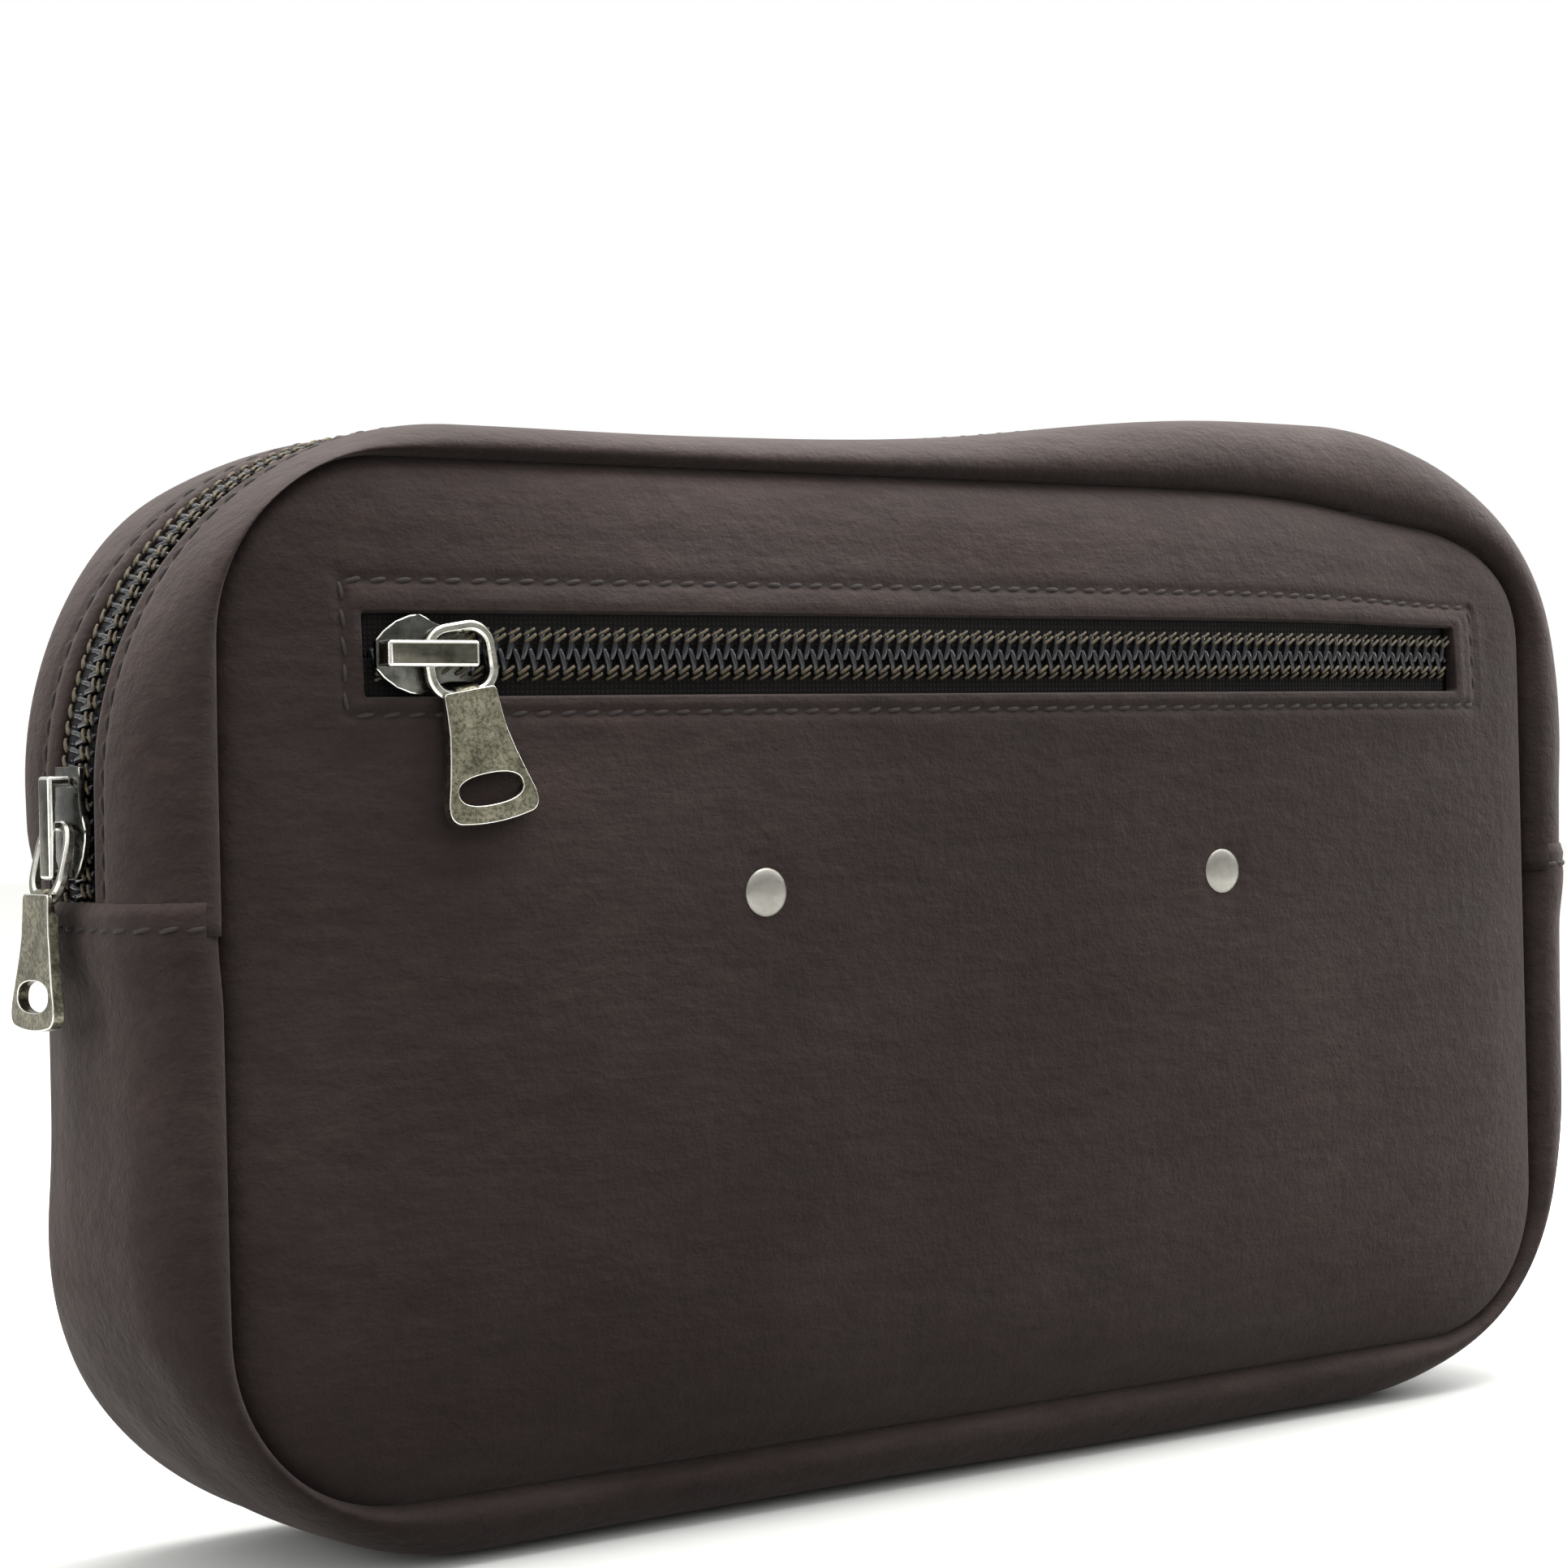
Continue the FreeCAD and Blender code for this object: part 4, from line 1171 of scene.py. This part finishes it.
def ring_line():
    """Centre line of the wire loop, leg on the y axis, running away along +x."""
    b = RING_SHORT / 2
    r = RING_BEND
    corners = [((r, b - r), 180, 90), ((RING_LONG - r, b - r), 90, 0), ((RING_LONG - r, r - b), 0, -90),
               ((r, r - b), -90, -180)]
    points = []
    for (cx, cy), a0, a1 in corners:
        for angle in np.radians(np.linspace(a0, a1, 11)):
            points.append((cx + r * math.cos(angle), cy + r * math.sin(angle), 0))
    points = np.array(points)
    dense = []
    for k in range(len(points)):
        a, b2 = points[k], points[(k + 1) % len(points)]
        n = max(1, int(np.linalg.norm(b2 - a) / 0.5))
        dense += [a + (b2 - a) * i / n for i in range(n)]
    return np.array(dense)


def wire_ring(name, place, node, body):
    """A square-section wire with heavy bevels, as pressed rings have."""
    line = ring_line()
    tangent = unit(np.roll(line, -1, 0) - np.roll(line, 1, 0))
    side = np.cross(tangent, np.array([0, 0, 1.0]))
    r = RING_WIRE
    c = 0.52 * r
    section = [(r, -c), (r, c), (c, r), (-c, r), (-r, c), (-r, -c), (-c, -r), (c, -r)]
    table = np.stack([line + side * a + np.array([0, 0, 1.0]) * b for a, b in section], 1)
    points, faces = swept(table, True)
    placed = [place(*p) for p in points]
    piece = mesh_piece(name, placed, faces, RING_FACE, body, "polished_nickel")
    piece.data.materials.append(BRIGHT)
    for polygon in piece.data.polygons:
        edge = polygon.index % len(section)
        polygon.material_index = 1 if edge in (1, 3, 5, 7) else 0
    bevelled(piece, 0.07, None, 1, 30.0)
    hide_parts(node)


MAIN_LEG_AT = (-129.8, 0.0, 97.8)
POCKET_LEG_AT = (-91.4, -28.1, 117.15)
MAIN_LEAN = math.radians(13.0)
lean_down = (-math.sin(MAIN_LEAN), 0.0, -math.cos(MAIN_LEAN))
lean_out = (-math.cos(MAIN_LEAN), 0.0, math.sin(MAIN_LEAN))
TILT = math.radians(9.0)
tilt_right = (math.cos(TILT), 0.0, math.sin(TILT))
tilt_up = (-math.sin(TILT), 0.0, math.cos(TILT))
wire_ring("main_ring_wire", frame_of(MAIN_LEG_AT, lean_down, (0, 1, 0), lean_out), "main_pull_ring",
          "main_ring")
wire_ring("pocket_ring_wire", frame_of(POCKET_LEG_AT, tilt_right, tilt_up, (0, -1, 0)), "pocket_pull_ring",
          "pocket_ring")
print("rings")


# %% [markdown]
# ## Pull tabs
# A tab is a waisted plate with an oval hole, folded over the ring at its top.

# %% Pull tabs
def tab_half(y):
    """Half width of the tab at height y below its hinge: slightly waisted, flaring to its foot."""
    knots = np.array([(0.35, 3.85), (-2.0, 3.95), (-5.0, 4.2), (-8.0, 4.85), (-11.4, 5.75), (-13.8, 6.5),
                      (-15.1, 6.6)])
    return np.interp(-y, -knots[:, 0], knots[:, 1])


def tab_outline(count=112):
    """Outline from the top left, round the foot, back to the top right."""
    left = [(-tab_half(y), y) for y in np.linspace(0.0, -14.8, 30)]
    foot = []
    for angle in np.radians(np.linspace(180, 270, 9))[1:]:
        foot.append((-6.6 + 1.7 + 1.7 * math.cos(angle), -14.9 + 1.7 * math.sin(angle)))
    belly = [(x, -16.6 - 0.45 * (1 - (x / 4.9) ** 2)) for x in np.linspace(-4.3, 4.3, 13)]
    half = left + foot + belly
    mirrored = [(-x, y) for x, y in reversed(left + foot)]
    loop = np.array(half + mirrored)
    top = [(x, 0.35) for x in np.linspace(3.55, -3.55, 9)]
    loop = np.vstack([loop, np.array([(3.85, 0.08)]), np.array(top), np.array([(-3.85, 0.08)])])
    s = np.concatenate([[0], np.cumsum(np.linalg.norm(np.diff(np.vstack([loop, loop[:1]]), axis=0), axis=1))])
    closed = np.vstack([loop, loop[:1]])
    d = np.linspace(0, s[-1], count, endpoint=False)
    return np.stack([np.interp(d, s, closed[:, k]) for k in (0, 1)], 1)


def tab_faces(y):
    """Front and back face heights of the tab: a thin tongue over the ring, then full thickness."""
    front_face = 1.38 - 0.10 * np.exp(-((y + 6.5) / 3.5) ** 2)
    back_face = 0.72 - 0.92 * smoothstep(1.2, 2.6, -y)
    return front_face, back_face


def pull_tab(name, place, node, body, lean_degrees):
    outer = tab_outline()
    centre = np.array([0.0, -12.7])
    away = outer - centre
    angle = np.arctan2(away[:, 1], away[:, 0])
    hole = np.stack([4.75 * np.sign(np.cos(angle)) * np.abs(np.cos(angle)) ** 0.85,
                     -12.7 + 2.0 * np.sign(np.sin(angle)) * np.abs(np.sin(angle)) ** 0.8], 1)
    blends = [0.0, 0.2, 0.35, 0.5, 0.65, 0.8, 1.0]
    loops = [hole + (outer - hole) * t for t in blends]
    top_side, low_side = [], []
    for loop in loops:
        f, b = tab_faces(loop[:, 1])
        top_side.append(np.column_stack([loop, f]))
        low_side.append(np.column_stack([loop, b]))
    table = np.array(top_side + low_side[::-1])
    points, faces = table.reshape(-1, 3), grid_faces(len(table), len(outer), True, True)
    lean = math.radians(lean_degrees)
    turned = [(a, b * math.cos(lean) + c * math.sin(lean), -b * math.sin(lean) + c * math.cos(lean))
              for a, b, c in points]
    piece = mesh_piece(name, [place(*p) for p in turned], faces, ANTIQUE, body, "antique_nickel")
    bevelled(piece, 0.34, BRIGHT, 2, 50.0)
    eye_line = np.array([(a, 0.0, 0.0) for a in np.linspace(-1.7, 1.7, 4)])
    eye = Batch()
    shell = []
    for radius in (1.05, 0.74):
        shell.append(np.stack([eye_line + np.array([0, radius * math.sin(t), radius * math.cos(t)])
                               for t in np.linspace(0, 2 * math.pi, 20, endpoint=False)], 1))
    ring = np.concatenate([shell[0], shell[1][::-1]], 0)
    eye.add([place(*p) for p in ring.reshape(-1, 3)], grid_faces(len(ring), 20, True, True))
    roll = eye.piece(name + "_roll", ANTIQUE, body, "antique_nickel")
    roll.parent = piece
    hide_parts(node)


main_hinge = (-131.87, 0.0, 88.836)
pocket_hinge = (-86.184, -28.1, 113.623)
pull_tab("main_tab_plate", frame_of(main_hinge, (0, -1, 0), (0, 0, 1), (-1, 0, 0)), "main_pull_tab",
         "main_tab", 3.0)
pull_tab("pocket_tab_plate", frame_of(pocket_hinge, tilt_right, tilt_up, (0, -1, 0)), "pocket_pull_tab",
         "pocket_tab", 6.0)
print("pull tabs")

# %% [markdown]
# ## Rivets
# Two tubular rivets sit on the front panel. Their caps are turned shapes: a low dome with a rolled edge,
# pressed a little into the leather.

# %% Rivets
RIVET_AT = ((-41.7, 86.3), (41.7, 86.3))


def rivet_caps():
    batch = Batch()
    profile = [(0.0, 0.78), (0.9, 0.76), (1.7, 0.68), (2.4, 0.54), (2.95, 0.36), (3.28, 0.16), (3.42, -0.05),
               (3.38, -0.3), (3.0, -0.45), (1.3, -0.6), (1.2, -2.6), (0.0, -2.6)]
    for x, z in RIVET_AT:
        face = float(front_y(np.array(x), np.array(z)))
        turns = np.linspace(0, 2 * np.pi, 48, endpoint=False)
        table = np.array([[(x + r * math.cos(a), face - h, z + r * math.sin(a)) for a in turns]
                          for r, h in profile])
        rows, columns, _ = table.shape
        faces = grid_faces(rows - 2, columns, False, True, 1)
        points = [table[0][0]] + list(table[1:-1].reshape(-1, 3)) + [table[-1][0]]
        faces += [(0, 1 + (j + 1) % columns, 1 + j) for j in range(columns)]
        last = 1 + (rows - 3) * columns
        faces += [(len(points) - 1, last + j, last + (j + 1) % columns) for j in range(columns)]
        batch.add(points, faces)
    piece = batch.piece("rivet_cap_pair", RIVET, "bag", "satin_nickel")
    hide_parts("rivet_caps")


rivet_caps()
print("rivets")

# %% [markdown]
# ## The belt
# Webbing is woven flat and stays flat: it bends easily across its thickness and hardly at all across its
# width. So each strap is one long flat section carried along a smooth line, with the fine ribs of its weave
# as real waves in the surface and selvedges at both edges.

# %% Webbing
def strap_path(points, step=0.9):
    curve = spline(points, 60 * len(points))
    s = np.concatenate([[0], np.cumsum(np.linalg.norm(np.diff(curve, axis=0), axis=1))])
    d = np.linspace(0, s[-1], int(s[-1] / step))
    return np.stack([np.interp(d, s, curve[:, k]) for k in range(3)], 1), s[-1]


def webbing(name, points, node, width=30.0, thick=1.7):
    path, length = strap_path(points)
    flat = np.gradient(path, axis=0)
    flat[:, 2] = 0
    flat = unit(flat)
    side = np.stack([-flat[:, 1], flat[:, 0], np.zeros(len(flat))], 1)
    s = np.arange(len(path))
    across = np.linspace(-0.5, 0.5, 27)
    edge = np.sqrt(np.clip(1 - np.abs(2 * across) ** 14, 0, 1))
    rows = []
    for sign in (1, -1):
        for u, e in zip(across[::sign], edge[::sign]):
            rib = 0.10 * np.cos(math.pi * (s + (7 if abs(u) > 0.44 else 4 * abs(u) * 13)))
            high = sign * (0.5 * thick * (0.25 + 0.75 * e)) + sign * rib * (0.4 + 0.6 * e)
            rows.append(path + side * high[:, None] + np.array([0, 0, 1.0]) * (u * width))
    piece = mesh_piece(name, *swept(np.stack(rows, 1)), WEBBING, "bag", "webbing")
    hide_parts(node)
    return path, side, length


LEFT_LINE = [(-111.6, 39.6, 78), (-106, 56, 50), (-96, 69, 31), (-78, 83, 20), (-50, 93, 18), (-24, 97, 19.2),
             (-6, 97, 19.2)]
RIGHT_LINE = [(132.7, 35, 78), (148, 62, 64), (152, 92, 38), (134, 121, 20), (104, 132, 17.4),
              (80, 132, 17.4), (55, 132, 17.4), (30, 132, 17.4), (5, 132, 17.4), (-30, 133, 17.4),
              (-52, 144, 17.4), (-50, 163, 17.4), (-26, 172, 17.4), (10, 172, 19.2), (30, 172, 19.2),
              (52, 172, 19.2)]
left_path = webbing("webbing_left", LEFT_LINE, "belt_strap_left")
right_path = webbing("webbing_right", RIGHT_LINE, "belt_strap_right")
print("webbing", round(left_path[2]), "and", round(right_path[2]), "mm")


# %% [markdown]
# ## Belt tabs
# A folded leather tab joins each strap to the back seam, held by a crossed box of stitches.

# %% Leather belt tabs
def belt_tab(name, sign, heading, node):
    way = unit(np.array([sign * heading[0], heading[1], 0.0]))
    side = np.array([-way[1], way[0], 0.0])
    start = np.array([sign * 118.6, SEAM_Y + 0.4, 78.0])
    d = np.concatenate([np.linspace(0, 19.0, 20), [19.5, 19.85, 20.0]])
    half_thick = np.interp(d, [0, 6, 19.0, 19.6, 20.0], [1.3, 2.5, 2.5, 2.2, 1.5])
    half_wide = np.interp(d, [0, 18.0, 19.4, 20.0], [17.0, 17.0, 16.6, 15.9])
    rows = []
    for sign2 in (1, -1):
        for u in np.linspace(-1, 1, 17)[::sign2]:
            round_off = math.sqrt(max(0.0, 1 - abs(u) ** 12))
            high = sign2 * half_thick * (0.35 + 0.65 * round_off)
            rows.append(start + np.outer(d, way) + np.outer(high, side)
                        + np.outer(u * half_wide, (0, 0, 1.0)))
    piece = mesh_piece(name, *swept(np.stack(rows, 1)), LEATHER)
    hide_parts(node)
    batch = Batch()
    for face in (1, -1):
        centre = start + side * face * 2.5
        low, high = centre - np.array([0, 0, 13.0]), centre + np.array([0, 0, 13.0])
        runs = [(low + way * 8, low + way * 17.5), (low + way * 17.5, high + way * 17.5),
                (high + way * 17.5, high + way * 8), (low + way * 8, high + way * 17.5),
                (high + way * 8, low + way * 17.5)]
        for k, (a, b) in enumerate(runs):
            line = a + np.outer(np.linspace(0, 1, 24), b - a)
            stitch_path(batch, line, np.broadcast_to(side * face, line.shape), 3.6, seed=40 + k, length=2.5)
    batch.piece(name + "_stitching", THREAD)


belt_tab("belt_leather_left", -1, (-0.35, 0.94), "belt_tab_left")
belt_tab("belt_leather_right", 1, (0.7, 0.7), "belt_tab_right")
print("belt tabs")

# %% [markdown]
# ## Buckle and keeper
# A side-release buckle is moulded in one hard plastic: a hollow socket with two side windows, and a plug
# whose springy arms click into them. The measured shapes are already right, so each gets soft moulded
# edges, finger grooves and its plastic.

# %% Buckle
def moulded_copy(node, name, body, width):
    piece = clean_copy(node, name, PLASTIC, body)
    bevelled(piece, width, None, 3, 35.0)
    return piece


def grip_ribs(name, x0, x1, y, z, half, body, count=5):
    """Low rounded ribs moulded on the flat of a buckle part, on both faces."""
    batch = Batch()
    for x in np.linspace(x0, x1, count):
        for face in (-1, 1):
            line = np.array([(x, y[1] if face > 0 else y[0], z + u * half) for u in np.linspace(-1, 1, 9)])
            batch.add(*swept(tube_table(line, 0.45, 8)))
    batch.piece(name, PLASTIC, body, "buckle_plastic")


moulded_copy("buckle_socket", "buckle_socket_shell", "bag", 0.9)
moulded_copy("buckle_plug", "buckle_plug_body", "bag", 0.7)
moulded_copy("buckle_latch_upper", "buckle_arm_upper", "latch_upper", 0.45)
moulded_copy("buckle_latch_lower", "buckle_arm_lower", "latch_lower", 0.45)
moulded_copy("strap_keeper", "strap_keeper_loop", "keeper", 0.4)
grip_ribs("buckle_socket_ribs", -3.0, 1.5, (91.5, 102.5), 19.2, 13.0, "bag", 4)
grip_ribs("buckle_plug_ribs", 54.5, 61.0, (167.5, 176.5), 19.2, 12.0, "bag", 5)
print("buckle")

# %% [markdown]
# ## Hidden pieces
# The lining, the pocket pouch, the bindings, the stiffener and the rivet backs keep their measured shapes,
# since the closed bag hides them. Each still gets its own finish, so that an opened or cut-away view is
# right.

# %% Finishes for carried nodes
HIDDEN = {"main_lining": LINING, "pocket_pouch": LINING, "front_seam_binding": BINDING,
          "back_seam_binding": BINDING, "back_stiffener": BOARD, "rivet_backs": RIVET}
for node, finish in HIDDEN.items():
    mesh = nodes[node].data
    mesh.materials.clear()
    mesh.materials.append(finish)
print(len(HIDDEN), "carried nodes finished")
